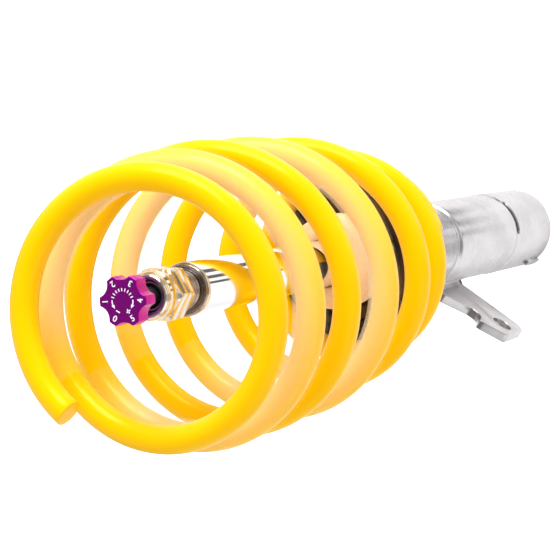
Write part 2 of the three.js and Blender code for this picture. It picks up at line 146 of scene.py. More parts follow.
def turned(name, outline, radius=0.4, columns=96):
    """A lathe part from an outline that goes up its outside and down its bore, or starts and ends on
    the axis."""
    outline = rounded(outline, radius)
    grid = polar(outline[:, :1], outline[:, 1:], angles(columns)[None, :])
    return ring_mesh(name, grid, closed=outline[0, 0] > 1e-6)


def step(value, start, end):
    """0 below start, 1 above end, smooth between."""
    t = np.clip((value - start) / (end - start), 0, 1)
    return t * t * (3 - 2 * t)


# %% Pieces
def piece(name, mesh, body, finish, stands_for=(), crease=38):
    """An object for the mesh, smooth except where faces meet at more than `crease` degrees, that
    rides on a body and stands for CAD nodes."""
    mesh.materials.clear()
    mesh.materials.append(finish.material)
    mesh.polygons.foreach_set("use_smooth", np.ones(len(mesh.polygons), dtype=bool))
    mesh.set_sharp_from_angle(angle=np.radians(crease))
    obj = bpy.data.objects.new(name, mesh)
    bpy.context.scene.collection.objects.link(obj)
    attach(obj, body)
    if stands_for:
        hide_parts(*stands_for)
    print(name, len(mesh.polygons), "faces")
    return obj


# %% [markdown]
# ## Shader maths
# A finish is mostly arithmetic on places: stripes, grains and masks. Wrapping a socket in a small
# class lets that arithmetic be written as Python, and each operator adds the Math node it stands for.

# %% Sockets as numbers
class Wire:
    """A node's output that can be added, multiplied and compared like a number."""

    def __init__(self, finish, socket):
        self.finish = finish
        self.socket = socket

    def maths(self, operation, *values):
        return self.finish.node("ShaderNodeMath", {"operation": operation}, dict(enumerate(values)))

    def __add__(self, other):
        return self.maths("ADD", self, other)

    __radd__ = __add__

    def __mul__(self, other):
        return self.maths("MULTIPLY", self, other)

    __rmul__ = __mul__

    def __sub__(self, other):
        return self.maths("SUBTRACT", self, other)

    def sine(self):
        return self.maths("SINE", self)

    def ease(self, start, end):
        """0 below start, 1 above end, and a smooth step between them."""
        settings = {"interpolation_type": "SMOOTHSTEP"}
        limits = {"Value": self, "From Min": start, "From Max": end}
        return self.finish.node("ShaderNodeMapRange", settings, limits)


class Graph:
    """A node tree that nodes are added to, with values or links on their sockets."""

    def __init__(self, tree):
        self.tree = tree
        tree.nodes.clear()

    def set(self, node, values):
        for key, value in values.items():
            socket = node.inputs[key]
            if isinstance(value, Wire):
                self.tree.links.new(value.socket, socket)
            else:
                socket.default_value = value

    def node(self, kind, settings=None, values=None, output=0):
        """Any node: its settings first, then the values or links of its sockets."""
        node = self.tree.nodes.new(kind)
        for key, value in (settings or {}).items():
            if key == "stops":
                ramp = node.color_ramp
                while len(ramp.elements) < len(value):
                    ramp.elements.new(0.5)
                for element, (place, colour) in zip(ramp.elements, value):
                    element.position = place
                    element.color = colour
            else:
                setattr(node, key, value)
        self.set(node, values or {})
        return Wire(self, node.outputs[output])

    def blend(self, factor, first, second):
        """Mixes two colours."""
        return self.node("ShaderNodeMix", {"data_type": "RGBA"}, {0: factor, 6: first, 7: second}, 2)

    def ramp(self, value, stops):
        """A colour read from a list of (place, colour) stops."""
        return self.node("ShaderNodeValToRGB", {"stops": stops}, {0: value})


class Finish(Graph):
    """A material and the record's slot it belongs to."""

    def __init__(self, name, slot, **surface):
        self.slot = slot
        self.material = bpy.data.materials.new(name)
        self.material.use_nodes = True
        super().__init__(self.material.node_tree)
        self.shader = self.tree.nodes.new("ShaderNodeBsdfPrincipled")
        self.output = self.tree.nodes.new("ShaderNodeOutputMaterial")
        self.tree.links.new(self.shader.outputs[0], self.output.inputs[0])
        self.surface(**surface)

    def place(self):
        """Object coordinates, which are metres in the strut's own frame."""
        return self.node("ShaderNodeTexCoord", output="Object")

    def stretched(self, scale):
        """Object coordinates with each axis scaled by itself, in features per millimetre."""
        per_metre = [value / MM for value in scale]
        settings = {"vector_type": "POINT"}
        return self.node("ShaderNodeMapping", settings, {"Vector": self.place(), "Scale": per_metre})

    def noise(self, scale, detail=3.0, distortion=0.0):
        """Soft random grain, 0 to 1. `scale` is features per millimetre along X, Y and Z."""
        values = {
            "Vector": self.stretched(scale),
            "Scale": 1.0,
            "Detail": detail,
            "Roughness": 0.55,
            "Distortion": distortion,
        }
        return self.node("ShaderNodeTexNoise", values=values)

    def cells(self, scale):
        """Distance to scattered points, for pores and grains. `scale` is cells per millimetre."""
        values = {"Vector": self.place(), "Scale": scale / MM, "Randomness": 1.0}
        return self.node("ShaderNodeTexVoronoi", {"feature": "F1"}, values, "Distance")

    def attribute(self, name):
        """A number that the mesh carries at each point, 0 on a mesh without it."""
        settings = {"attribute_type": "GEOMETRY", "attribute_name": name}
        return self.node("ShaderNodeAttribute", settings, output="Fac")

    def surface(self, **values):
        """Links or values for the main shader's sockets."""
        self.set(self.shader, {key.replace("_", " "): value for key, value in values.items()})
        return self

    def bump(self, height, distance):
        """Small relief: `distance` is its depth in millimetres."""
        values = {"Height": height, "Distance": distance * MM, "Strength": 1.0}
        return self.surface(Normal=self.node("ShaderNodeBump", values=values))


def rgb(red, green, blue):
    """An opaque colour."""
    return (red, green, blue, 1.0)


# %% [markdown]
# ## Metal finishes
# Turned and polished metals share a recipe: very fine rings left by the tool, a slow cloudiness in
# how sharply they reflect, and hardly any change of colour. The rings are noise that is squashed
# along Z and stretched round the part.

# %% Metals
def ringed_metal(name, slot, light, dark, rough, spread, ring=1.6, depth=0.004):
    """Metal with turning rings. `rough` and `spread` are its middle roughness and how far it varies,
    `ring` the rings per millimetre, and `depth` their relief in millimetres. It is darkened with
    painted shade where the mesh's painted-shade attribute is 1, as in the groove of a slot; a mesh
    without that attribute is not darkened."""
    finish = Finish(name, slot, Metallic=1.0)
    rings = finish.noise((0.01, 0.01, ring), detail=4.0)
    clouds = finish.noise((0.05, 0.05, 0.03), detail=3.0)
    colour = finish.blend(clouds.ease(0.3, 0.7), light, dark)
    # Painted shade: a near-black colour is laid on where the mesh's painted-shade attribute is 1, which is
    # the groove of the clamp slot.
    colour = finish.blend(0.9 * finish.attribute("soot"), colour, rgb(0.1, 0.085, 0.08))
    texture = rough - spread + 1.2 * spread * clouds + 0.8 * spread * rings
    finish.surface(Base_Color=colour, Roughness=texture)
    return finish.bump(rings, depth)


stainless = ringed_metal(
    "satin_stainless", "stainless", rgb(0.68, 0.66, 0.67), rgb(0.57, 0.55, 0.56), 0.27, 0.08, depth=0.002
)
plate_steel = ringed_metal(
    "plate_stainless", "stainless", rgb(0.7, 0.68, 0.68), rgb(0.6, 0.58, 0.58), 0.3, 0.07, 0.5, 0.004
)
chrome = ringed_metal(
    "hard_chrome", "chrome", rgb(0.9, 0.9, 0.91), rgb(0.84, 0.84, 0.86), 0.05, 0.025, 3.0, 0.001
)
stud_steel = ringed_metal(
    "stud_steel", "chrome", rgb(0.46, 0.43, 0.41), rgb(0.32, 0.3, 0.29), 0.2, 0.08, 3.0, 0.004
)
bare_steel = ringed_metal(
    "bare_steel", "steel", rgb(0.5, 0.5, 0.5), rgb(0.38, 0.38, 0.39), 0.35, 0.1
)
cast_alloy = ringed_metal(
    "machined_casting", "cast_alloy", rgb(0.66, 0.66, 0.64), rgb(0.5, 0.5, 0.49), 0.42, 0.1
)


def passivated_zinc():
    """Zinc plate under a thin film: silver with drifts of pale gold and a trace of violet."""
    finish = Finish("yellow_zinc", "zinc", Metallic=1.0)
    drift = finish.noise((0.12, 0.12, 0.2), detail=3.0, distortion=0.6)
    film = [
        (0.35, rgb(0.8, 0.79, 0.77)),
        (0.55, rgb(0.82, 0.79, 0.68)),
        (0.65, rgb(0.78, 0.71, 0.55)),
        (0.78, rgb(0.68, 0.63, 0.76)),
    ]
    colour = finish.ramp(drift, film)
    grain = finish.noise((2.5, 2.5, 2.5), detail=2.0)
    finish.surface(Base_Color=colour, Roughness=0.07 + 0.1 * grain)
    return finish.bump(grain, 0.004)


def dyed_alloy(name, slot, colour, deep, rough, grain_size, depth):
    """Blasted aluminium under a dyed oxide: fine even grain, and a slightly deeper tone in drifts."""
    finish = Finish(name, slot, Metallic=0.9)
    grain = finish.cells(grain_size)
    drift = finish.noise((0.2, 0.2, 0.2), detail=2.0)
    finish.surface(Base_Color=finish.blend(drift, colour, deep), Roughness=rough + 0.12 * grain)
    return finish.bump(grain, depth)


zinc = passivated_zinc()
purple = dyed_alloy(
    "purple_anodised", "purple", rgb(0.62, 0.02, 0.52), rgb(0.5, 0.01, 0.42), 0.2, 5.0, 0.004
)
black_alloy = dyed_alloy(
    "black_anodised", "black_alloy", rgb(0.13, 0.09, 0.06), rgb(0.08, 0.055, 0.04), 0.42, 3.0, 0.02
)

# %% [markdown]
# ## Paint, plastics, foam and rubber
# The spring is powder coated: a thick glossy skin with a faint orange-peel ripple. The sleeves on it
# are milky plastic that lets the yellow through, so they are part transparent. The bump stop is
# foamed polyurethane, full of tiny pores.

# %% Paint and plastics
def powder_coat():
    """Thick yellow paint, glossy, rippled like orange peel."""
    finish = Finish(
        "yellow_powder_coat",
        "spring_yellow",
        Specular_IOR_Level=0.35,
        Specular_Tint=rgb(1.0, 0.85, 0.05),
        Coat_Weight=0.12,
        Coat_Roughness=0.08,
    )
    ripple = finish.noise((0.35, 0.35, 0.35), detail=1.0)
    tone = finish.noise((0.02, 0.02, 0.02), detail=2.0)
    colour = finish.blend(tone, rgb(0.95, 0.5, 0.0), rgb(0.95, 0.54, 0.0))
    finish.surface(Base_Color=colour, Roughness=0.26 + 0.1 * ripple)
    return finish.bump(ripple, 0.02)


def milky_plastic():
    """Thin translucent hose. Where it presses against the wire, the paint shows through. Where there
    is air behind it, it looks milky. The mesh's attribute `gap` is -1 at the contact, 1 opposite."""
    finish = Finish("milky_hose", "milky_sleeve", Specular_IOR_Level=0.4)
    finish.surface(Coat_Weight=0.5, Coat_Roughness=0.05)
    cloud = finish.noise((0.08, 0.08, 0.08), detail=3.0)
    fine = finish.noise((0.6, 0.6, 0.6), detail=2.0)
    colour = finish.blend(cloud, rgb(1.0, 0.93, 0.72), rgb(1.0, 0.86, 0.58))
    milky = (finish.attribute("gap") + 0.3 * cloud).ease(-1.0, 1.4)
    finish.surface(Base_Color=colour, Roughness=0.2 + 0.1 * fine, Alpha=0.02 + 0.22 * milky)
    return finish.bump(cloud, 0.03)


def foam():
    """Cream polyurethane with a moulded skin and fine pores."""
    finish = Finish("cream_foam", "cream_foam", Specular_IOR_Level=0.25)
    pores = finish.cells(1.1).ease(0.12, 0.5)
    drift = finish.noise((0.1, 0.1, 0.1), detail=4.0)
    colour = finish.blend(drift, rgb(0.93, 0.64, 0.36), rgb(0.87, 0.56, 0.3))
    colour = finish.blend(pores, rgb(0.82, 0.52, 0.28), colour)
    finish.surface(Base_Color=colour, Roughness=0.8 + 0.1 * drift)
    return finish.bump(pores, 0.08)


def moulded(name, slot, colour, worn, rough, depth):
    """Rubber or hard plastic with a fine matt grain."""
    finish = Finish(name, slot, Specular_IOR_Level=0.4)
    grain = finish.noise((2.0, 2.0, 2.0), detail=3.0)
    drift = finish.noise((0.08, 0.08, 0.08), detail=3.0)
    finish.surface(Base_Color=finish.blend(drift, colour, worn), Roughness=rough + 0.15 * grain)
    return finish.bump(grain, depth)


yellow_paint = powder_coat()
milky = milky_plastic()
cream_foam = foam()
rubber = moulded(
    "black_rubber", "black_rubber", rgb(0.02, 0.02, 0.02), rgb(0.04, 0.038, 0.035), 0.6, 0.03
)
nylon = moulded("violet_nylon", "nylon", rgb(0.06, 0.04, 0.2), rgb(0.1, 0.06, 0.26), 0.22, 0.008)
ptfe = moulded("sliding_polymer", "ptfe", rgb(0.2, 0.2, 0.13), rgb(0.3, 0.27, 0.18), 0.45, 0.01)
black_oxide = moulded(
    "black_oxide", "black_alloy", rgb(0.03, 0.03, 0.032), rgb(0.06, 0.06, 0.06), 0.3, 0.01
)
white_fill = moulded("white_fill", None, rgb(0.9, 0.88, 0.92), rgb(0.8, 0.78, 0.85), 0.5, 0.01)

# %% [markdown]
# ## The inner parts
# What is sealed in the tube keeps its CAD shape. It still gets the finish of the real part, so the
# strut can be taken apart in a scene without showing a bare grey solid.

# %% Finishes on the CAD parts that stay
SLOT_FINISHES = {
    "stainless": stainless,
    "chrome": chrome,
    "zinc": zinc,
    "steel": bare_steel,
    "cast_alloy": cast_alloy,
    "purple": purple,
    "black_alloy": black_alloy,
    "spring_yellow": yellow_paint,
    "milky_sleeve": milky,
    "cream_foam": cream_foam,
    "nylon": nylon,
    "black_rubber": rubber,
    "ptfe": ptfe,
}
for entry in frame["record"]["subparts"]:
    node = frame["nodes"][entry["node"]]
    node.data.materials.clear()
    node.data.materials.append(SLOT_FINISHES[entry["material_slot"]].material)

# %% [markdown]
# ## The strut tube
# One turned tube: a rounded foot, a plain length that the steering knuckle clamps, a shallow step, a
# shoulder, and then the thread that the spring perch climbs. A short slot, its groove darkened with
# painted shade, marks how deep the clamp must reach. The thread is a trapezoid wave that climbs one
# pitch for each turn, so the radius is a function of angle and height together.

# %% Tube
THREAD_DEPTH = 0.55
SLOT_MIDDLE = 69.0
SLOT_HALF_WIDTH = 2.3
SLOT_DEPTH = 1.1
SLOT_FROM = np.radians(36.0)
SLOT_TO = np.radians(88.0)
FOOT_ROUNDING = 2.6
CLAMP_STEP_TOP = 71.0
SHOULDER_TOP_OF_TUBE = 172.0
THREAD_START = 174.0


def thread(height, angle, pitch, depth):
    """How far a right-hand trapezoid thread lies under its crest at a height and angle."""
    phase = (height / pitch - angle / (2 * np.pi)) % 1.0
    flank = np.clip((np.abs(phase - 0.5) - 0.14) / 0.2, 0, 1)
    return depth * (1 - flank)


def tube_points(columns=168):
    """The outside from the foot to the rim, then the bore back down."""
    angle = angles(columns)[None, :]
    foot = [(TUBE_BORE, 0), (CLAMP_RADIUS, 0), (CLAMP_RADIUS, 12), (TUBE_BORE, 12)]
    foot = rounded(foot, FOOT_ROUNDING, 9)[5:18]
    plain = np.array([(CLAMP_RADIUS, z) for z in (20, 40, 60)])
    marked = np.array([(CLAMP_RADIUS, z) for z in np.arange(65.6, 72.4, 0.4)])
    clamp_step = CLAMP_RADIUS - TUBE_RADIUS
    marked[:, 0] -= clamp_step * step(marked[:, 1], CLAMP_STEP_TOP - 0.4, CLAMP_STEP_TOP + 0.4)
    upper = np.array([(TUBE_RADIUS, z) for z in (76, 100, 125, 150, 166)])
    shoulder = [
        (TUBE_RADIUS, SHOULDER_TOP_OF_TUBE - 4.0),
        (TUBE_RADIUS, SHOULDER_TOP_OF_TUBE - 1.4),
        (THREAD_RADIUS, SHOULDER_TOP_OF_TUBE),
        (THREAD_RADIUS, THREAD_START),
    ]
    shoulder = rounded(shoulder, 0.8)
    cut_heights = np.arange(THREAD_START, TUBE_TOP - 1.2, THREAD_PITCH / 6)
    cut = np.array([(THREAD_RADIUS, z) for z in cut_heights])
    rim = [(THREAD_RADIUS, TUBE_TOP - 1), (THREAD_RADIUS - 0.6, TUBE_TOP), (TUBE_BORE, TUBE_TOP)]
    rim = rounded(rim, 0.2)
    bore = np.array([(TUBE_BORE, TUBE_TOP - 1), (TUBE_BORE, 0.5)])
    outline = np.vstack([foot, plain, marked, upper, shoulder[5:15], cut, rim[:10], bore])
    radius, height = outline[:, :1], outline[:, 1:]
    outside = radius > TUBE_BORE + 1
    from_middle = np.abs(height - SLOT_MIDDLE)
    on_slot = 1 - step(from_middle, SLOT_HALF_WIDTH - 0.4, SLOT_HALF_WIDTH + 0.2)
    after_start = step(angle, SLOT_FROM - 0.03, SLOT_FROM + 0.03)
    slot = on_slot * after_start * (1 - step(angle, SLOT_TO - 0.03, SLOT_TO + 0.03)) * outside
    threaded = step(height, THREAD_START, THREAD_START + 1.5) * outside
    threaded = threaded * (1 - step(height, TUBE_TOP - 2.4, TUBE_TOP - 1.4))
    groove = threaded * thread(height, angle, THREAD_PITCH, THREAD_DEPTH)
    return polar(radius - SLOT_DEPTH * slot - groove, height, angle), slot


tube_grid, slot = tube_points()
tube_mesh = ring_mesh("threaded_tube", tube_grid, closed=True)
# Painted shade: the slot's mask is stored on the tube's points, so that the finish darkens its groove.
point_values(tube_mesh, "soot", slot)
piece("threaded_tube", tube_mesh, "strut", stainless, ["strut_tube"], crease=50)

# %% [markdown]
# The foot is closed by a plug that is pressed in and welded. The gland cap closes the top; its rim
# has the fine bevels of a turned part.

# %% Foot plug, gland cap and wiper
plug_radius = high("foot_plug")[0]
plug_top = high("foot_plug")[2]
foot_plug = turned("foot_plug_disc", [
    (0, 0.6), (plug_radius - 6, 0.6), (plug_radius - 4.5, 0),
    (plug_radius, 0), (plug_radius, plug_top), (0, plug_top),
], 0.6)
piece("foot_plug_disc", foot_plug, "strut", stainless, ["foot_plug"])

cap_low, cap_high = low("gland_cap")[2], high("gland_cap")[2]
cap_seat = cap_high - 6
cap_bore = ROD_RADIUS + 0.4
wiper_outer = high("rod_wiper")[0] + 0.3
cap = turned("gland_cap_ring", [
    (cap_bore, cap_low), (TUBE_BORE - 0.3, cap_low), (TUBE_BORE - 0.3, cap_seat), (THREAD_RADIUS, cap_seat),
    (THREAD_RADIUS, cap_high - 1.2), (THREAD_RADIUS - 1.2, cap_high), (wiper_outer, cap_high),
    (wiper_outer, cap_high - 4), (cap_bore, cap_high - 4),
], 0.3)
piece("gland_cap_ring", cap, "strut", stainless, ["gland_cap"])

# %% [markdown]
# ## The sway-bar bracket
# A flat plate, laser cut and lightly deburred, welded along the tube. Its outline is straight edges
# with a round notch on the upper side; a flat curve with a small bevel gives exactly that, with the
# hole cut through. It becomes a mesh before it is turned into place.

# %% Bracket
BRACKET_OUTLINE = [
    (-13, 95.5), (57, 95.5), (62, 100.5), (62, 128), (61, 129.5), (47, 137), (44.6, 137.4),
    (43.6, 134), (42.6, 130), (39.5, 127.4), (34, 127), (19, 139), (-13, 139),
]
LINK_HOLE = (52.0, 115.0)
LINK_HOLE_RADIUS = 6.0
PLATE_BEVEL = 0.5


def rounded_loop(corners, radius, steps=4):
    """The same corner rounding as for turned outlines, on a flat outline."""
    shifted = [(x + 1000, z) for x, z in corners]
    return rounded(shifted, radius, steps) - np.array([1000, 0])


def flat_mesh(name, loops, thickness, bevel):
    """A flat sheet bounded by closed loops of (x, y) points, the first one outside, with bevelled
    edges. The loops lie on the sheet's middle, in millimetres."""
    curve = bpy.data.curves.new(name, "CURVE")
    curve.dimensions = "2D"
    curve.fill_mode = "BOTH"
    curve.extrude = thickness / 2 - bevel
    curve.bevel_depth = bevel
    curve.bevel_resolution = 2
    curve.offset = -bevel
    for loop in loops:
        spline = curve.splines.new("POLY")
        spline.points.add(len(loop) - 1)
        flat = np.column_stack([loop, np.zeros(len(loop)), np.ones(len(loop))])
        spline.points.foreach_set("co", flat.ravel())
        spline.use_cyclic_u = True
    carrier = bpy.data.objects.new(name, curve)
    bpy.context.scene.collection.objects.link(carrier)
    bpy.context.view_layer.update()
    mesh = bpy.data.meshes.new_from_object(carrier)
    bpy.data.objects.remove(carrier)
    work = bmesh.new()
    work.from_mesh(mesh)
    bmesh.ops.remove_doubles(work, verts=work.verts, dist=1e-5)
    work.to_mesh(mesh)
    work.free()
    return mesh


def circle_loop(centre, radius, count=48):
    """Points round a circle."""
    angle = angles(count)
    return np.column_stack([centre[0] + radius * np.cos(angle), centre[1] + radius * np.sin(angle)])


plate_inner, plate_outer = high("link_bracket")[1], low("link_bracket")[1]
plate_mesh = flat_mesh(
    "sway_bar_plate",
    [rounded_loop(BRACKET_OUTLINE, 1.2), circle_loop(LINK_HOLE, LINK_HOLE_RADIUS)],
    plate_inner - plate_outer,
    PLATE_BEVEL,
)
stand_up = Matrix.Rotation(np.pi / 2, 4, "X")
plate_mesh.transform(
    Matrix.Translation((0, (plate_inner + plate_outer) / 2 * MM, 0)) @ stand_up @ Matrix.Scale(MM, 4)
)
piece("sway_bar_plate", plate_mesh, "strut", plate_steel, ["link_bracket"], crease=30)

# %% [markdown]
# The weld between plate and tube is a hollow fillet: it leaves the tube along its surface and runs
# out flat on the plate. Its section is drawn once and carried up the joint, with a slow ripple.

# %% Weld bead
BEAD_FROM = 96.5
BEAD_TO = 138.0
BEAD_REACH = 14.5
BEAD_START = np.radians(-53)
RIPPLE_DEPTH = 0.18
RIPPLE_LENGTH = 2.1


def capped(grid):
    """The grid with both ends closed at the middles of its first and last rings."""
    middle = grid.mean(axis=1, keepdims=True).repeat(grid.shape[1], 1)
    return np.concatenate([middle[:1], grid, middle[-1:]])


def weld_points(rows=60, steps=14):
    """The bead along the joint. Its face is a curve from a point on the tube to a point on
    the plate that bends towards the corner between them; its back lies hidden under both."""
    height = np.linspace(BEAD_FROM, BEAD_TO, rows)
    ripple = RIPPLE_DEPTH * np.sin(height * 2 * np.pi / RIPPLE_LENGTH) * np.sin(height * 0.31)
    start = TUBE_RADIUS * np.array([np.cos(BEAD_START), np.sin(BEAD_START)])
    end = np.array([BEAD_REACH, plate_inner + 0.02])
    corner = np.array([7.5, plate_inner + 1.6])
    t = np.linspace(0, 1, steps)[:, None]
    face = (1 - t) ** 2 * start + 2 * t * (1 - t) * corner + t**2 * end
    back = np.array([[8.0, plate_inner - 0.4], [2.0, plate_inner + 0.2], [10.0, plate_inner + 3.4]])
    section = np.vstack([face, back])
    bulge = np.concatenate([np.sin(np.pi * t[:, 0]), np.zeros(3)])
    x = section[None, :, 0] + ripple[:, None] * bulge * 0.5
    y = section[None, :, 1] + ripple[:, None] * bulge * 0.5
    grid = np.stack([x, y, np.broadcast_to(height[:, None], x.shape)], axis=-1)
    return capped(grid[:, ::-1])


bead = ring_mesh("weld_bead_outer", weld_points())
piece("weld_bead_outer", bead, "strut", stainless, ["bracket_weld"], 60)

# %% [markdown]
# ## The locating tab
# A small key near the foot that drops into the clamp's slit. It is a pillow shape: a superellipse in
# plan, domed outwards, with its back on the tube.

# %% Locating tab
TAB_ANGLE = np.radians(-20.0)
TAB_HALF_WIDTH = 2.6
TAB_RISE = 1.9


def tab_points(rows=24, columns=64):
    """Rings of a superellipse that shrink to the top of the tab, and a last flat ring behind it."""
    bottom, top = low("locating_tab")[2], high("locating_tab")[2]
    half_length = (top - bottom) / 2
    angle = angles(columns)[None, :]
    round_x = np.sign(np.cos(angle)) * np.abs(np.cos(angle)) ** 0.5
    round_z = np.sign(np.sin(angle)) * np.abs(np.sin(angle)) ** 0.5
    t = np.linspace(0, 1, rows)[:, None]
    shrink = np.where(t < 0.5, 1.0, np.sqrt(np.clip(1 - ((t - 0.5) / 0.5) ** 3, 0, 1)))
    rise = np.where(t < 0.5, -0.8 + 2.4 * t / 0.5, 1.6 + 0.5 * (t - 0.5) / 0.5)
    rise = np.minimum(rise, TAB_RISE)
    across = TAB_HALF_WIDTH * shrink * round_x
    length = half_length * (1 - (1 - shrink) * 0.35) * np.where(shrink > 0, 1, 0)
    up = (top + bottom) / 2 + length * round_z
    return capped(polar(CLAMP_RADIUS + rise, up, TAB_ANGLE + across / CLAMP_RADIUS))


key = ring_mesh("locating_key", tab_points())
piece("locating_key", key, "strut", stainless, ["locating_tab"], 50)

# %% [markdown]
# ## The piston rod
# Ground, chromed and polished, so it has nothing but its shine. Above its shoulder come a plain
# collar with two tool grooves and then the M14 thread for the lock nut.

# %% Rod
STUD_PITCH = 1.5
STUD_THREAD_DEPTH = 0.6
rod_low, rod_high = low("piston_rod")[2], high("piston_rod")[2]
STUD_RADIUS = 7.0
SHOULDER_TOP = rod_high - 31.2
ROD_BORE = 3.3
STUD_BORE = 5.5
TENON_RADIUS = 6.5
TENON_TOP = rod_low + 34.0
COLLAR_RADIUS = 8.8
COLLAR_TOP = SHOULDER_TOP + 12.2


def rod_points(columns=128):
    """The tenon, the long bright cylinder, the shoulder, the collar and the thread, then the bore."""
    angle = angles(columns)[None, :]
    lower = [
        (ROD_BORE, rod_low), (TENON_RADIUS, rod_low), (TENON_RADIUS, TENON_TOP),
        (ROD_RADIUS, TENON_TOP), (ROD_RADIUS, TENON_TOP + 20),
    ]
    lower = rounded(lower, 0.5)[:20]
    bright = np.array([(ROD_RADIUS, z) for z in np.linspace(TENON_TOP + 30, SHOULDER_TOP - 3, 12)])
    shoulder = [
        (ROD_RADIUS, SHOULDER_TOP - 6), (ROD_RADIUS, SHOULDER_TOP - 1.1),
        (ROD_RADIUS - 1.1, SHOULDER_TOP), (COLLAR_RADIUS + 1.0, SHOULDER_TOP),
        (COLLAR_RADIUS + 0.8, SHOULDER_TOP - 0.5), (COLLAR_RADIUS, SHOULDER_TOP - 0.5),
        (COLLAR_RADIUS, SHOULDER_TOP + 4),
    ]
    shoulder = rounded(shoulder, 0.25, 4)[4:-4]
    height = np.arange(SHOULDER_TOP + 1, COLLAR_TOP - 0.6, 0.22)
    groove = 0.7 * np.exp(-(((height - SHOULDER_TOP - 3.2) / 0.7) ** 2))
    groove += 0.5 * np.exp(-(((height - SHOULDER_TOP - 6.0) / 0.45) ** 2))
    taper = 1.3 * step(height, SHOULDER_TOP + 6.6, SHOULDER_TOP + 8.2)
    collar = np.column_stack([COLLAR_RADIUS - groove - taper, height])
    cut_heights = np.arange(COLLAR_TOP + 0.5, rod_high - 0.8, STUD_PITCH / 6)
    cut = np.array([(STUD_RADIUS, z) for z in cut_heights])
    end = [
        (STUD_RADIUS, rod_high - 0.8), (STUD_RADIUS - 0.8, rod_high), (STUD_BORE, rod_high),
        (STUD_BORE, COLLAR_TOP), (ROD_BORE, COLLAR_TOP), (ROD_BORE, rod_low + 1),
    ]
    end = rounded(end, 0.15, 3)[1:-1]
    outline = np.vstack([lower, bright, shoulder, collar, cut, end])
    radius, z = outline[:, :1], outline[:, 1:]
    outside = np.arange(len(outline))[:, None] < len(outline) - len(end)
    threaded = outside * step(z, SHOULDER_TOP + 8.2, SHOULDER_TOP + 9.2)
    threaded = threaded * (1 - step(z, rod_high - 1.6, rod_high - 0.8))
    return polar(radius - threaded * thread(z, angle, STUD_PITCH, STUD_THREAD_DEPTH), z, angle)


rod_mesh = ring_mesh("chromed_rod", rod_points(), closed=True)
rod = piece("chromed_rod", rod_mesh, "piston_rod", chrome, ["piston_rod"], crease=45)

# %% [markdown]
# The shoulder and all that stands above it is not chromed but turned steel, so those faces take a
# second material.

# %% Bare steel on the rod's end
rod.data.materials.append(stud_steel.material)
centres = np.empty(3 * len(rod.data.polygons))
rod.data.polygons.foreach_get("center", centres)
above = (centres.reshape(-1, 3)[:, 2] > (SHOULDER_TOP - 0.6) * MM).astype(np.int32)
rod.data.polygons.foreach_set("material_index", above)

# %% [markdown]
# ## The lock nut
# A hexagon's radius at an angle is its half width divided by the cosine of the angle to the nearest
# flat. The top and bottom chamfers are shallow cones, so where the corners stick out further, the
# cone meets the flats lower: that is what draws the curved edge on every real nut.

# %% Nut
NUT_HALF_FLATS = 11.0
NUT_FIRST_CORNER = np.radians(33.0)
CORNER_WEAR = 0.25
nut_low, nut_high = low("rod_nut")[2], high("rod_nut")[2]
HEX_TOP = nut_low + 13.8
NUT_COLLAR = 10.6
DOME_WIDTH = 2.2
DOME_HEIGHT = 3.4
NYLON_OUTER = high("nylon_ring")[0]
NYLON_TOP = high("nylon_ring")[2]
CHAMFER = np.tan(np.radians(30.0))


def nut_points(columns=240):
    """Rows of (radius, height), each a function of the angle, from the bore's foot to its top."""
    angle = angles(columns)
    from_flat = (angle - NUT_FIRST_CORNER) % (np.pi / 3) - np.pi / 6
    hexagon = NUT_HALF_FLATS / np.cos(from_flat)
    hexagon = np.minimum(hexagon, NUT_HALF_FLATS / np.cos(np.pi / 6) - CORNER_WEAR)
    drop = (hexagon - NUT_HALF_FLATS) * CHAMFER
    flats = [
        (STUD_RADIUS + 0.3, nut_low), (NUT_HALF_FLATS - 0.8, nut_low),
        (NUT_HALF_FLATS - 0.3, nut_low + 0.05), (hexagon - 0.1, nut_low + drop + 0.15),
        (hexagon, nut_low + drop + 0.45), (hexagon, HEX_TOP - drop - 0.75),
        (hexagon - 0.1, HEX_TOP - drop - 0.4), (NUT_HALF_FLATS - 0.1, HEX_TOP - 0.1),
        (NUT_COLLAR + 0.15, HEX_TOP + 0.1), (NUT_COLLAR, HEX_TOP + 0.6),
    ]
    quarter = np.linspace(0, np.pi / 2, 9)
    dome_radius = NUT_COLLAR - DOME_WIDTH * (1 - np.cos(quarter))
    dome_height = nut_high - DOME_HEIGHT * (1 - np.sin(quarter))
    lip = NUT_COLLAR - DOME_WIDTH - 0.3
    pocket = NUT_COLLAR - 1.6
    inside = [
        (lip, nut_high - 0.1), (lip - 0.1, nut_high - 0.5), (lip, NYLON_TOP + 0.2),
        (pocket, NYLON_TOP), (pocket, NYLON_TOP - 4.4), (STUD_RADIUS + 0.3, NYLON_TOP - 4.4),
    ]
    rows = flats + list(zip(dome_radius, dome_height)) + inside
    return np.stack([polar(radius, height, angle) for radius, height in rows])


nut = ring_mesh("lock_nut", nut_points(), closed=True)
piece("lock_nut", nut, "piston_rod", zinc, ["rod_nut"], 28)
ring_top = NYLON_TOP + 0.4
nylon_ring = turned("nylon_insert", [
    (STUD_RADIUS + 0.2, NYLON_TOP - 4), (NYLON_OUTER, NYLON_TOP - 4), (NYLON_OUTER, ring_top - 0.4),
    (NYLON_OUTER - 0.5, ring_top - 0.4), (NYLON_OUTER - 0.7, ring_top), (NYLON_OUTER - 1.3, ring_top),
    (NYLON_OUTER - 1.4, ring_top - 0.5), (STUD_RADIUS + 0.2, ring_top - 0.6),
], 0.15)
piece("nylon_insert", nylon_ring, "piston_rod", nylon, ["nylon_ring"])

# %% [markdown]
# ## The rebound dial
# Six broad lobes with hollows between them for the fingertips. Its outline is a circle that six round
# cutters bite into. Stacking inset copies of the outline rounds both rims.

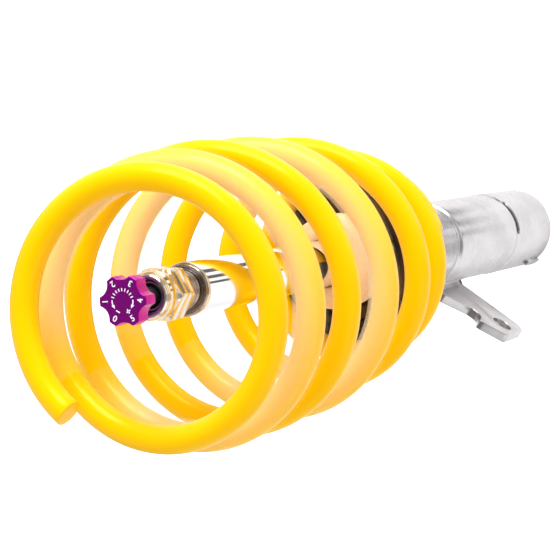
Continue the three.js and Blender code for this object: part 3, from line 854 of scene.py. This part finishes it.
# %% Dial
KNOB_RADIUS = 11.0
LOBES = 6
SCALLOP = 2.1
LOBE_HALF = np.radians(10.0)
FIRST_LOBE = np.radians(37.0)
knob_low, knob_high = low("adjuster_knob")[2], high("adjuster_knob")[2]
FACE = knob_high - 0.06
STEM_RADIUS = 4.0
SOCKET_RADIUS = STEM_RADIUS + 0.3
SOCKET_TOP = knob_low + 5.5
RIM_BEVEL = 0.4
CORNER_SOFTNESS = 0.12


def lobe_edge(angle, inset):
    """The dial's radius at an angle, moved in by `inset`. Six round cutters bite into a circle. Each
    leaves `SCALLOP` off the radius at its deepest, and meets the rim at `LOBE_HALF` from a lobe's
    middle. Where circle and cutter meet, a soft minimum of the two rounds the corner."""
    from_hollow = (angle - FIRST_LOBE) % (2 * np.pi / LOBES) - np.pi / LOBES
    meet = np.cos(np.pi / LOBES - LOBE_HALF)
    deepest = KNOB_RADIUS - SCALLOP
    cutter = KNOB_RADIUS**2 + deepest**2 - 2 * KNOB_RADIUS * deepest * meet
    cutter /= 2 * (KNOB_RADIUS * meet - deepest)
    centre = deepest + cutter
    inside = np.clip(cutter**2 - (centre * np.sin(from_hollow)) ** 2, 0, None)
    hollow = centre * np.cos(from_hollow) - np.sqrt(inside)
    hollow = np.where(inside > 0, hollow, KNOB_RADIUS + 5)
    blend = -CORNER_SOFTNESS * np.log(1 + np.exp(-(hollow - KNOB_RADIUS) / CORNER_SOFTNESS))
    return KNOB_RADIUS + blend - inset


def dial_points(columns=288):
    """From the socket for the stem, out under the back, up the edge and in to the face's middle."""
    angle = angles(columns)
    rows = [(0.0, SOCKET_TOP), (SOCKET_RADIUS, SOCKET_TOP), (SOCKET_RADIUS, knob_low + 0.3)]
    rows += [(SOCKET_RADIUS + 0.3, knob_low), (lobe_edge(angle, 1.4), knob_low)]
    turns = np.linspace(0, np.pi / 2, 6)
    for turn in turns:
        inset = RIM_BEVEL * (1 - np.sin(turn))
        rows.append((lobe_edge(angle, inset), knob_low + RIM_BEVEL * (1 - np.cos(turn))))
    for turn in turns:
        inset = RIM_BEVEL * (1 - np.cos(turn))
        rows.append((lobe_edge(angle, inset), FACE - RIM_BEVEL * (1 - np.sin(turn))))
    rows += [(lobe_edge(angle, 1.2), FACE), (6.0, FACE), (3.0, FACE), (0.0, FACE)]
    return np.stack([polar(radius, height, angle) for radius, height in rows])


dial = ring_mesh("rebound_dial", dial_points())
piece("rebound_dial", dial, "rebound_adjuster", purple, ["adjuster_knob"], 50)

# %% [markdown]
# The dial's marks are engraved and filled with white: a digit on each lobe, a short arc of ticks, and
# two curved arrows for less and more. Each mark is a thin sheet that ends flush with the dial's top.

# %% Marks on the dial
MARK_THICKNESS = 0.12
DIGIT_SIZE = 3.7
DIGIT_RADIUS = 8.35
MARK_RING = 4.9
STROKE = 0.5
ARROW_HALF = 0.75
ARROW_TIP = 0.32
TICKS = 9
# Where each digit stands, as an angle seen from above, from 0 to 5 one lobe apart.
DIGIT_ANGLES = FIRST_LOBE + 2 * np.pi / LOBES * np.array([-2, -3, -4, -5, -6, -7])


def direction_at(angle):
    """The unit vector at an angle."""
    return np.array([np.cos(angle), np.sin(angle)])


def stroke(points, width):
    """A flat loop round a line of points: the line offset to one side and back along the other."""
    points = np.array(points, dtype=float)
    along = np.gradient(points, axis=0)
    along /= np.linalg.norm(along, axis=1, keepdims=True)
    side = np.column_stack([-along[:, 1], along[:, 0]]) * width / 2
    return np.vstack([points + side, (points - side)[::-1]])


def arc_line(radius, start, end, count=24):
    """Points on an arc, from one angle to another."""
    angle = np.linspace(start, end, count)
    return np.column_stack([radius * np.cos(angle), radius * np.sin(angle)])


def arrow_loops(radius, start, end):
    """A curved arrow: an arc that ends in a triangle."""
    turn = np.sign(end - start)
    tip = radius * direction_at(end + turn * ARROW_TIP)
    inner = (radius - ARROW_HALF) * direction_at(end)
    outer = (radius + ARROW_HALF) * direction_at(end)
    return [stroke(arc_line(radius, start, end), STROKE), np.array([inner, outer, tip])]


def text_mesh(word, size):
    """A flat mesh of a digit or sign in Blender's own font, centred on the origin."""
    curve = bpy.data.curves.new("mark", "FONT")
    curve.body = word
    curve.size = size
    curve.align_x = "CENTER"
    curve.align_y = "CENTER"
    curve.extrude = MARK_THICKNESS / 2
    curve.offset = 0.04
    carrier = bpy.data.objects.new("mark", curve)
    bpy.context.scene.collection.objects.link(carrier)
    bpy.context.view_layer.update()
    mesh = bpy.data.meshes.new_from_object(carrier)
    bpy.data.objects.remove(carrier)
    return mesh


def join_meshes(name, meshes):
    """One mesh from several."""
    work = bmesh.new()
    for mesh in meshes:
        work.from_mesh(mesh)
    bmesh.ops.remove_doubles(work, verts=work.verts, dist=1e-7)
    joined = bpy.data.meshes.new(name)
    work.to_mesh(joined)
    work.free()
    return joined


def on_face(mesh, angle=None, radius=0.0):
    """Lays a flat mesh on the dial's face, with its foot pointing outwards if an angle is given."""
    if angle is not None:
        mesh.transform(Matrix.Rotation(angle + np.pi / 2, 4, "Z"))
        mesh.transform(Matrix.Translation((radius * np.cos(angle), radius * np.sin(angle), 0)))
    mesh.transform(Matrix.Translation((0, 0, knob_high - MARK_THICKNESS / 2 - 0.01)))
    mesh.transform(Matrix.Scale(MM, 4))
    return mesh


marks = []
for digit, angle in enumerate(DIGIT_ANGLES):
    marks.append(on_face(text_mesh(str(digit), DIGIT_SIZE), angle, DIGIT_RADIUS))
zero = DIGIT_ANGLES[0]
five = DIGIT_ANGLES[5] + 2 * np.pi
loops = arrow_loops(MARK_RING, zero - 1.15, zero - 0.7)
loops += arrow_loops(MARK_RING, five + 1.15, five + 0.7)
for angle in np.linspace(zero - 1.4, zero - 1.4 - np.radians(140), TICKS):
    out = direction_at(angle)
    loops.append(stroke([out * (MARK_RING + reach) for reach in (-0.8, 0.0, 0.5)], 0.42))
for angle in (zero, five):
    out = direction_at(angle)
    side = direction_at(angle + np.pi / 2)
    bar = [out * MARK_RING + side * reach for reach in (-1.0, 0.0, 1.0)]
    loops.append(stroke(bar, STROKE))
upright = [direction_at(five) * (MARK_RING + reach) for reach in (-1.0, 0.0, 1.0)]
loops.append(stroke(upright, STROKE))
marks += [on_face(flat_mesh("mark", [loop], MARK_THICKNESS, 0.0)) for loop in loops]
piece("dial_marks", join_meshes("dial_marks", marks), "rebound_adjuster", white_fill)

# %% [markdown]
# Under the dial its dark stem runs down into the rod, with a rubber ring in a groove.

# %% Stem and its ring
shaft_low, shaft_high = low("adjuster_shaft")[2], high("adjuster_shaft")[2]
STEM_BOTTOM = COLLAR_TOP + 0.3
SHAFT_RADIUS = 2.9
GROOVE_LOW = rod_high - 5
GROOVE_HIGH = GROOVE_LOW + 1.8
GROOVE_FLOOR = STEM_RADIUS - 0.8
NECK_RADIUS = STEM_RADIUS - 0.5
stem = turned("dial_stem", [
    (0, shaft_low), (SHAFT_RADIUS, shaft_low), (SHAFT_RADIUS, STEM_BOTTOM),
    (STEM_RADIUS, STEM_BOTTOM), (STEM_RADIUS, GROOVE_LOW), (GROOVE_FLOOR, GROOVE_LOW),
    (GROOVE_FLOOR, GROOVE_HIGH), (STEM_RADIUS, GROOVE_HIGH), (STEM_RADIUS, knob_low - 5.2),
    (NECK_RADIUS, knob_low - 4.9), (NECK_RADIUS, knob_low - 4.0), (STEM_RADIUS, knob_low - 3.7),
    (STEM_RADIUS, shaft_high), (0, shaft_high),
], 0.2)
piece("dial_stem", stem, "rebound_adjuster", black_oxide, ["adjuster_shaft"])


def torus_points(radius, thickness, height, columns=96, rows=20):
    """A ring of round section."""
    section = angles(rows)[:, None]
    out = radius + thickness * np.cos(section)
    return polar(out, height + thickness * np.sin(section), angles(columns)[None, :])


ring_height = (low("stem_o_ring")[2] + high("stem_o_ring")[2]) / 2
ring_radius = STEM_RADIUS + 0.35
o_ring = ring_mesh("stem_seal", torus_points(ring_radius, 0.75, ring_height), closed=True)
piece("stem_seal", o_ring, "rebound_adjuster", rubber, ["stem_o_ring"])

# %% [markdown]
# ## The bump stop
# A foam cone with a waist, so that it folds up evenly when the strut bottoms out.

# %% Bump stop
stop_low, stop_high = low("bump_stop")[2], high("bump_stop")[2]
STOP_RADIUS = high("bump_stop")[0]
STOP_BORE = ROD_RADIUS + 0.4


def stop_points(columns=128, rows=90):
    """Radius against height: a full lower bulge, a waist, a smaller upper bulge and a round lip."""
    t = np.linspace(0, 1, rows)
    body = STOP_RADIUS - 3.2 * np.exp(-(((t - 0.5) / 0.07) ** 2)) - 2.2 * step(t, 0.5, 1.0)
    body = body - 1.6 * (1 - step(t, 0.0, 0.08)) - 5.0 * step(t, 0.86, 1.0) ** 2
    body = np.minimum(body, STOP_RADIUS)
    height = stop_low + (stop_high - stop_low) * t
    lip = [(STOP_BORE + 0.5, stop_high), (STOP_BORE, stop_high - 0.6)]
    outline = np.vstack([[(STOP_BORE, stop_low)], np.column_stack([body, height]), lip])
    return polar(outline[:, :1], outline[:, 1:], angles(columns)[None, :])


stop = ring_mesh("foam_stop", stop_points(), closed=True)
stop = piece("foam_stop", stop, "bump_stop", cream_foam, ["bump_stop"], 60)

# %% [markdown]
# ## The spring perch
# Two threaded rings, one to carry and one to lock, with slots round them for a hook spanner. A slot
# is a flat-bottomed notch: the radius drops wherever the angle comes near one of eight directions.

# %% Collar and lock ring
SPANNER_SLOTS = 8
SLOT_HALF = 4.0
SPANNER_DEPTH = 3.4
COLLAR_OUTER = high("lock_ring")[0]
COLLAR_BORE = 22.9


def slotted_points(outline, slot_top, columns=288):
    """A turned ring whose outside drops into the slots below `slot_top`."""
    outline = rounded(outline, 0.5, 6)
    angle = angles(columns)[None, :]
    radius, height = outline[:, :1], outline[:, 1:]
    pitch = 2 * np.pi / SPANNER_SLOTS
    across = np.abs((angle + pitch / 2) % pitch - pitch / 2) * COLLAR_OUTER
    inside = 1 - step(across, SLOT_HALF - 0.4, SLOT_HALF + 0.4)
    floor = COLLAR_OUTER - SPANNER_DEPTH
    under_top = 1 - step(height, slot_top - 0.4, slot_top + 0.4)
    cut = inside * under_top * np.clip(radius - floor, 0, None)
    return polar(radius - cut, height, angle)


collar_low, collar_high = low("perch_collar")[2], high("perch_collar")[2]
FLANGE_RADIUS = high("perch_collar")[0]
flange_low = collar_high - 5
side = [(COLLAR_OUTER, z) for z in np.linspace(collar_low, flange_low, 14)]
collar_outline = [(COLLAR_BORE, collar_low)] + side + [
    (FLANGE_RADIUS, flange_low + 1), (FLANGE_RADIUS, collar_high), (COLLAR_BORE, collar_high),
]
collar = ring_mesh("carrier_ring", slotted_points(collar_outline, collar_low + 9), closed=True)
piece("carrier_ring", collar, "perch_collar", black_alloy, ["perch_collar"], 40)
lock_low, lock_high = low("lock_ring")[2], high("lock_ring")[2]
side = [(COLLAR_OUTER, z) for z in np.linspace(lock_low, lock_high, 8)]
lock_outline = [(COLLAR_BORE, lock_low)] + side + [(COLLAR_BORE, lock_high)]
lock = ring_mesh("locking_ring", slotted_points(lock_outline, lock_high + 1), closed=True)
piece("locking_ring", lock, "perch_collar", black_alloy, ["lock_ring"], 40)

# %% [markdown]
# On the carrier ring lies the spring plate, which has a hub that centres the spring, and on the
# plate a rubber pad. The pad's rim and its centring lip are moulded, so their corners are soft.

# %% Plate and pad
plate_low, plate_high = low("spring_plate")[2], high("spring_plate")[2]
PLATE_RADIUS = high("spring_plate")[0]
HUB_RADIUS = 33.0
plate_bore = 23.3
plate = turned("perch_plate", [
    (plate_bore, plate_low), (PLATE_RADIUS, plate_low), (PLATE_RADIUS, plate_low + 3),
    (HUB_RADIUS, plate_low + 3), (HUB_RADIUS, plate_high - 1.1), (HUB_RADIUS - 1.1, plate_high),
    (plate_bore + 2.5, plate_high), (plate_bore, plate_high - 1.5),
], 0.35, 144)
piece("perch_plate", plate, "spring_perch", black_alloy, ["spring_plate"])
pad_low, pad_high = low("spring_pad")[2], high("spring_pad")[2]
PAD_RADIUS = high("spring_pad")[0]
seat = pad_low + 3.1
lip = 37.7
pad = turned("rubber_pad", [
    (HUB_RADIUS + 0.3, pad_low), (PAD_RADIUS, pad_low), (PAD_RADIUS, seat), (lip + 0.5, seat),
    (lip - 0.8, pad_high), (HUB_RADIUS + 1.6, pad_high), (HUB_RADIUS + 0.3, pad_high - 1),
], 0.9, 144)
piece("rubber_pad", pad, "spring_perch", rubber, ["spring_pad"])

# %% [markdown]
# ## The spring
# A barrel spring: its coils swell in the middle so that they can nest. The wire's centre line has a
# radius and a drop that pass smoothly through a value for each whole turn, and a round section is
# carried along it. The section's sides point out from the axis and across the wire, so it doesn't
# twist. The upper end is simply cut off.

# %% The wire's centre line
WIRE_RADIUS = 6.25
SPRING_RADII = np.array([54, 57.8, 62.1, 61.9, 61.8, 56, 48, 45.5])
SPRING_DROPS = np.cumsum([0, 26.5, 30.5, 40.3, 48.6, 52.6, 38.4, 4])
SPRING_TURNS = 6.6
SPRING_START = np.radians(-92.1)
SPRING_LEAN = np.array([4.1, -3.3])
SEAT_DEPTH = 9.7


def through(values, place):
    """A Catmull-Rom curve through equally spaced values, read at `place` steps from the first."""
    ends = [2 * values[0] - values[1]], [2 * values[-1] - values[-2]]
    padded = np.concatenate([ends[0], values, ends[1]])
    start = np.clip(np.floor(place).astype(int), 0, len(values) - 2)
    t = place - start
    a, b, c, d = (padded[start + i] for i in range(4))
    square = (2 * a - 5 * b + 4 * c - d) * t**2
    cube = (3 * b - a - 3 * c + d) * t**3
    return 0.5 * (2 * b + (c - a) * t + square + cube)


# The lowest coil rests on the pad, a little under the tube's rim.
lowest_drop = through(SPRING_DROPS, np.linspace(0, SPRING_TURNS, 2001)).max()
SPRING_TOP = TUBE_TOP - SEAT_DEPTH + WIRE_RADIUS + lowest_drop
print("spring from", round(float(SPRING_TOP - lowest_drop), 2), "to", round(float(SPRING_TOP), 2))


def wire_line(turn):
    """The centre of the wire, and the directions outwards and across, at places counted in turns."""
    total = SPRING_DROPS[-1] + 4

    def centre(at):
        drop = through(SPRING_DROPS, at)
        angle = SPRING_START - 2 * np.pi * at
        radius = through(SPRING_RADII, at)
        lean = 1 - drop / total
        x = radius * np.cos(angle) + lean * SPRING_LEAN[0]
        y = radius * np.sin(angle) + lean * SPRING_LEAN[1]
        return np.stack([x, y, SPRING_TOP - drop], axis=-1)

    angle = SPRING_START - 2 * np.pi * turn
    outward = np.stack([np.cos(angle), np.sin(angle), np.zeros_like(angle)], axis=-1)
    tangent = centre(turn + 0.001) - centre(turn - 0.001)
    tangent /= np.linalg.norm(tangent, axis=-1, keepdims=True)
    across = np.cross(tangent, outward)
    across /= np.linalg.norm(across, axis=-1, keepdims=True)
    return centre(turn), np.cross(across, tangent), across, tangent


def along_wire(turn, radius, columns, push=0.0):
    """Rings of a given radius round the wire, moved along it by `push` millimetres."""
    centre, outward, across, tangent = (value[:, None, :] for value in wire_line(turn))
    section = angles(columns)[None, :, None]
    radius = np.broadcast_to(radius, turn.shape)[:, None, None]
    push = np.broadcast_to(push, turn.shape)[:, None, None]
    return centre + push * tangent + radius * (np.cos(section) * outward + np.sin(section) * across)


# %% [markdown]
# The ends are sawn square with a small bevel, so each end gets a few rings that shrink to its middle.

# %% Wire
END_BEVEL = 0.35


def wire_points(columns=40, per_turn=110):
    """The wire with its two cut ends."""
    turn = np.linspace(0, SPRING_TURNS, int(SPRING_TURNS * per_turn))
    body = along_wire(turn, WIRE_RADIUS, columns)
    shrink = np.array([0.0, 0.45, 0.93, 0.98]) * WIRE_RADIUS
    push = END_BEVEL - np.array([0.0, 0.0, 0.0, 0.08])
    first = along_wire(np.full(4, turn[0]), shrink, columns, -push)
    last = along_wire(np.full(4, turn[-1]), shrink[::-1], columns, push[::-1])
    return np.concatenate([first, body, last])[:, ::-1]


wire = ring_mesh("barrel_spring", wire_points())
piece("barrel_spring", wire, "main_spring", yellow_paint, ["main_spring"], 50)

# %% [markdown]
# Two lengths of milky hose are pushed over the wire, one on the second turn and one on the fourth, so
# that the coils don't knock when they meet. Each is a tube with a wall, a little wavy where the hose
# was bent round the coil. Its ends cling to the wire.

# %% Sleeves
SLEEVE_INNER = WIRE_RADIUS + 0.4
SLEEVE_OUTER = SLEEVE_INNER + 1.15
SLEEVES = {"upper_sleeve": (1.05, 2.05), "lower_sleeve": (3.05, 4.05)}
HOSE_SHIFT = 0.28
CONTACT = np.radians(-15)
LIP = 0.25
CLING = 0.12


def sleeve_points(start, end, columns=48, rows=140):
    """Out along the hose's outside, round its end, and back along its inside. The hose sits a little
    nearer the spring's axis than the wire does, so that the two touch on the outer side."""
    turn = np.linspace(start, end, rows)
    wave = 0.05 * np.sin(turn * 90) + 0.07 * np.sin(turn * 37 + 1.3)
    swell = wave * np.clip(8 * np.minimum(turn - start, end - turn), 0, 1)
    outer = along_wire(turn, SLEEVE_OUTER + swell - 0.1, columns)
    end_out = along_wire(turn[-1:], SLEEVE_OUTER - LIP, columns, LIP)
    end_in = along_wire(turn[-1:], SLEEVE_INNER + 0.1, columns, LIP)
    inner = along_wire(turn[::-1], SLEEVE_INNER, columns)
    start_in = along_wire(turn[:1], SLEEVE_INNER + 0.1, columns, -LIP)
    start_out = along_wire(turn[:1], SLEEVE_OUTER - LIP, columns, -LIP)
    grid = np.concatenate([outer, end_out, end_in, inner, start_in, start_out])
    at = np.concatenate([turn, turn[-1:], turn[-1:], turn[::-1], turn[:1], turn[:1]])
    _, outward, across, _ = wire_line(at)
    shift = -HOSE_SHIFT * (np.cos(CONTACT) * outward + np.sin(CONTACT) * across)
    return (grid + shift[:, None, :])[:, ::-1], at


for name, (start, end) in SLEEVES.items():
    grid, at = sleeve_points(start, end)
    hose = ring_mesh(name + "_hose", grid, closed=True)
    loose = step(np.minimum(at - start, end - at), 0.0, CLING)[:, None]
    across_gap = -np.cos(angles(grid.shape[1]) - CONTACT)[::-1]
    point_values(hose, "gap", loose * (across_gap + 1) - 1)
    hose = piece(name + "_hose", hose, "main_spring", milky, [name], 50)
    # Light passes through the real hose, so it casts no shadow on the wire inside it.
    hose.visible_shadow = False

# %% [markdown]
# ## Floor, light and camera
# The strut stands upright on a pale floor. The camera looks steeply down past the dial, so the strut
# runs away from it. Everything round the object is white, as in a light tent.

# %% Floor
def flat_card(name, corners, height, finish):
    """A flat face at a height that belongs to the set and not to the object, in metres."""
    mesh = bpy.data.meshes.new(name)
    mesh.from_pydata([(x, y, height) for x, y in corners], [], [tuple(range(len(corners)))])
    mesh.materials.append(finish.material)
    obj = bpy.data.objects.new(name, mesh)
    bpy.context.scene.collection.objects.link(obj)
    return obj


FLOOR_HALF = 4.0
pale = Finish("pale_floor", None, Base_Color=rgb(0.88, 0.88, 0.88), Roughness=0.9)
seen = pale.node("ShaderNodeLightPath", output="Is Camera Ray")
pale.surface(Emission_Color=rgb(1, 1, 1), Emission_Strength=0.75 * seen)
square = [(x * FLOOR_HALF, y * FLOOR_HALF) for x, y in ((-1, -1), (1, -1), (1, 1), (-1, 1))]
flat_card("floor", square, 0.0, pale)

# %% [markdown]
# Polished metal in an all-white room looks like plaster. So dark cards lie out of sight on the floor,
# to give the metal something dark to reflect. Three narrow black wedges lie near the strut's foot. Six
# broad grey ones lie further out, evenly round it, for views from the side. Only reflections see them.

# %% Dark cards
NEAR_CARDS = [(98, 116), (70, 84), (48, 58)]
NEAR_REACH = (0.08, 0.45)
FAR_REACH = (0.5, 3.9)
CARD_HEIGHT = 0.001
FAR_COUNT = 6
FAR_WIDTH = 26
FAR_MIDDLE = 27.5


def dark_card(name, start, end, reach, finish):
    """A wedge between two azimuths in degrees and two distances in metres, for glossy rays alone."""
    near, far = reach
    turns = np.radians([start, end])
    inner = [(near * np.cos(a), near * np.sin(a)) for a in turns]
    outer = [(far * np.cos(a), far * np.sin(a)) for a in turns[::-1]]
    card = flat_card(name, inner + outer, CARD_HEIGHT, finish)
    card.visible_camera = False
    card.visible_diffuse = False
    card.visible_shadow = False


black_card = Finish("black_card", None, Base_Color=rgb(0.1, 0.09, 0.08), Roughness=0.9)
grey_card = Finish("grey_card", None, Base_Color=rgb(0.3, 0.29, 0.28), Roughness=0.9)
for index, (start, end) in enumerate(NEAR_CARDS):
    dark_card(f"near_card_{index}", start, end, NEAR_REACH, black_card)
for index in range(FAR_COUNT):
    start = FAR_MIDDLE - FAR_WIDTH / 2 + index * 360 / FAR_COUNT
    dark_card(f"far_card_{index}", start, start + FAR_WIDTH, FAR_REACH, grey_card)
print(len(NEAR_CARDS), "near cards and", FAR_COUNT, "far ones")

# %% [markdown]
# The room lights everything evenly from all round. In reflections it is bright near the horizon and
# dark overhead, where the camera and its stand are. Above each far card the horizon is dimmer too, as
# sin(6 azimuth - 75 degrees) is 1 there.

# %% Room
world = bpy.data.worlds.new("tent")
world.use_nodes = True
room = Graph(world.node_tree)
direction = room.node("ShaderNodeTexCoord", output="Generated")
upward = room.node("ShaderNodeSeparateXYZ", values={0: direction}, output=2)
radial = {"gradient_type": "RADIAL"}
azimuth = room.node("ShaderNodeTexGradient", radial, {0: direction}, "Fac")
phase = np.radians(FAR_COUNT * FAR_MIDDLE - 90)
dim = (FAR_COUNT * 2 * np.pi * azimuth - phase).sine().ease(0.0, 0.5)
reflected = room.ramp(0.5 + 0.5 * upward, [
    (0.5, rgb(1.0, 1.0, 1.0)),
    (0.7, rgb(0.9, 0.9, 0.9)),
    (0.85, rgb(0.25, 0.25, 0.27)),
    (1.0, rgb(0.1, 0.1, 0.12)),
])
reflected = room.blend(0.7 * dim, reflected, rgb(0.2, 0.2, 0.2))
glossy = room.node("ShaderNodeLightPath", output="Is Glossy Ray")
seen = room.node("ShaderNodeLightPath", output="Is Camera Ray")
lit = room.blend(glossy, rgb(0.9, 0.9, 0.9), reflected)
backdrop = room.blend(seen, lit, rgb(1, 1, 1))
background = room.node("ShaderNodeBackground", values={"Color": backdrop, "Strength": 1.0})
surface = room.tree.nodes.new("ShaderNodeOutputWorld")
room.tree.links.new(background.socket, surface.inputs["Surface"])
bpy.context.scene.world = world
bpy.context.scene.view_settings.view_transform = "Standard"

# %% [markdown]
# Two large soft lights: one from the far side, above, that puts the bright streak along the upper
# side of each coil, and a weaker one that opens the shadows.

# %% Lights
def area_light(name, place, target, size, power):
    """A square soft light at a place, facing a target, in metres and watts."""
    light = bpy.data.lights.new(name, "AREA")
    light.shape = "SQUARE"
    light.size = size
    light.energy = power
    obj = bpy.data.objects.new(name, light)
    obj.location = place
    obj.rotation_euler = (Vector(target) - Vector(place)).to_track_quat("-Z", "Y").to_euler()
    bpy.context.scene.collection.objects.link(obj)


CENTRE = (0.0, 0.0, 0.3)
area_light("key", (-0.9, 1.5, 1.3), CENTRE, 1.2, 44)
area_light("fill", (1.6, -0.4, 1.0), CENTRE, 1.4, 4)

# %% Camera
CAMERA_AT = Vector((0.2819, 0.2787, 1.2106))
LOOK = Vector((-0.3, -0.3025, -0.9047)).normalized()
UP = Vector((-0.5741, 0.8147, -0.0821)).normalized()
FOCAL_LENGTH = 124.2
SENSOR_WIDTH = 36
camera = bpy.data.cameras.new("camera")
camera.lens = FOCAL_LENGTH
camera.sensor_width = SENSOR_WIDTH
camera_object = bpy.data.objects.new("camera", camera)
right = LOOK.cross(UP).normalized()
true_up = right.cross(LOOK)
turn = Matrix((right, true_up, -LOOK)).transposed()
camera_object.matrix_world = Matrix.Translation(CAMERA_AT) @ turn.to_4x4()
bpy.context.scene.collection.objects.link(camera_object)
bpy.context.scene.camera = camera_object
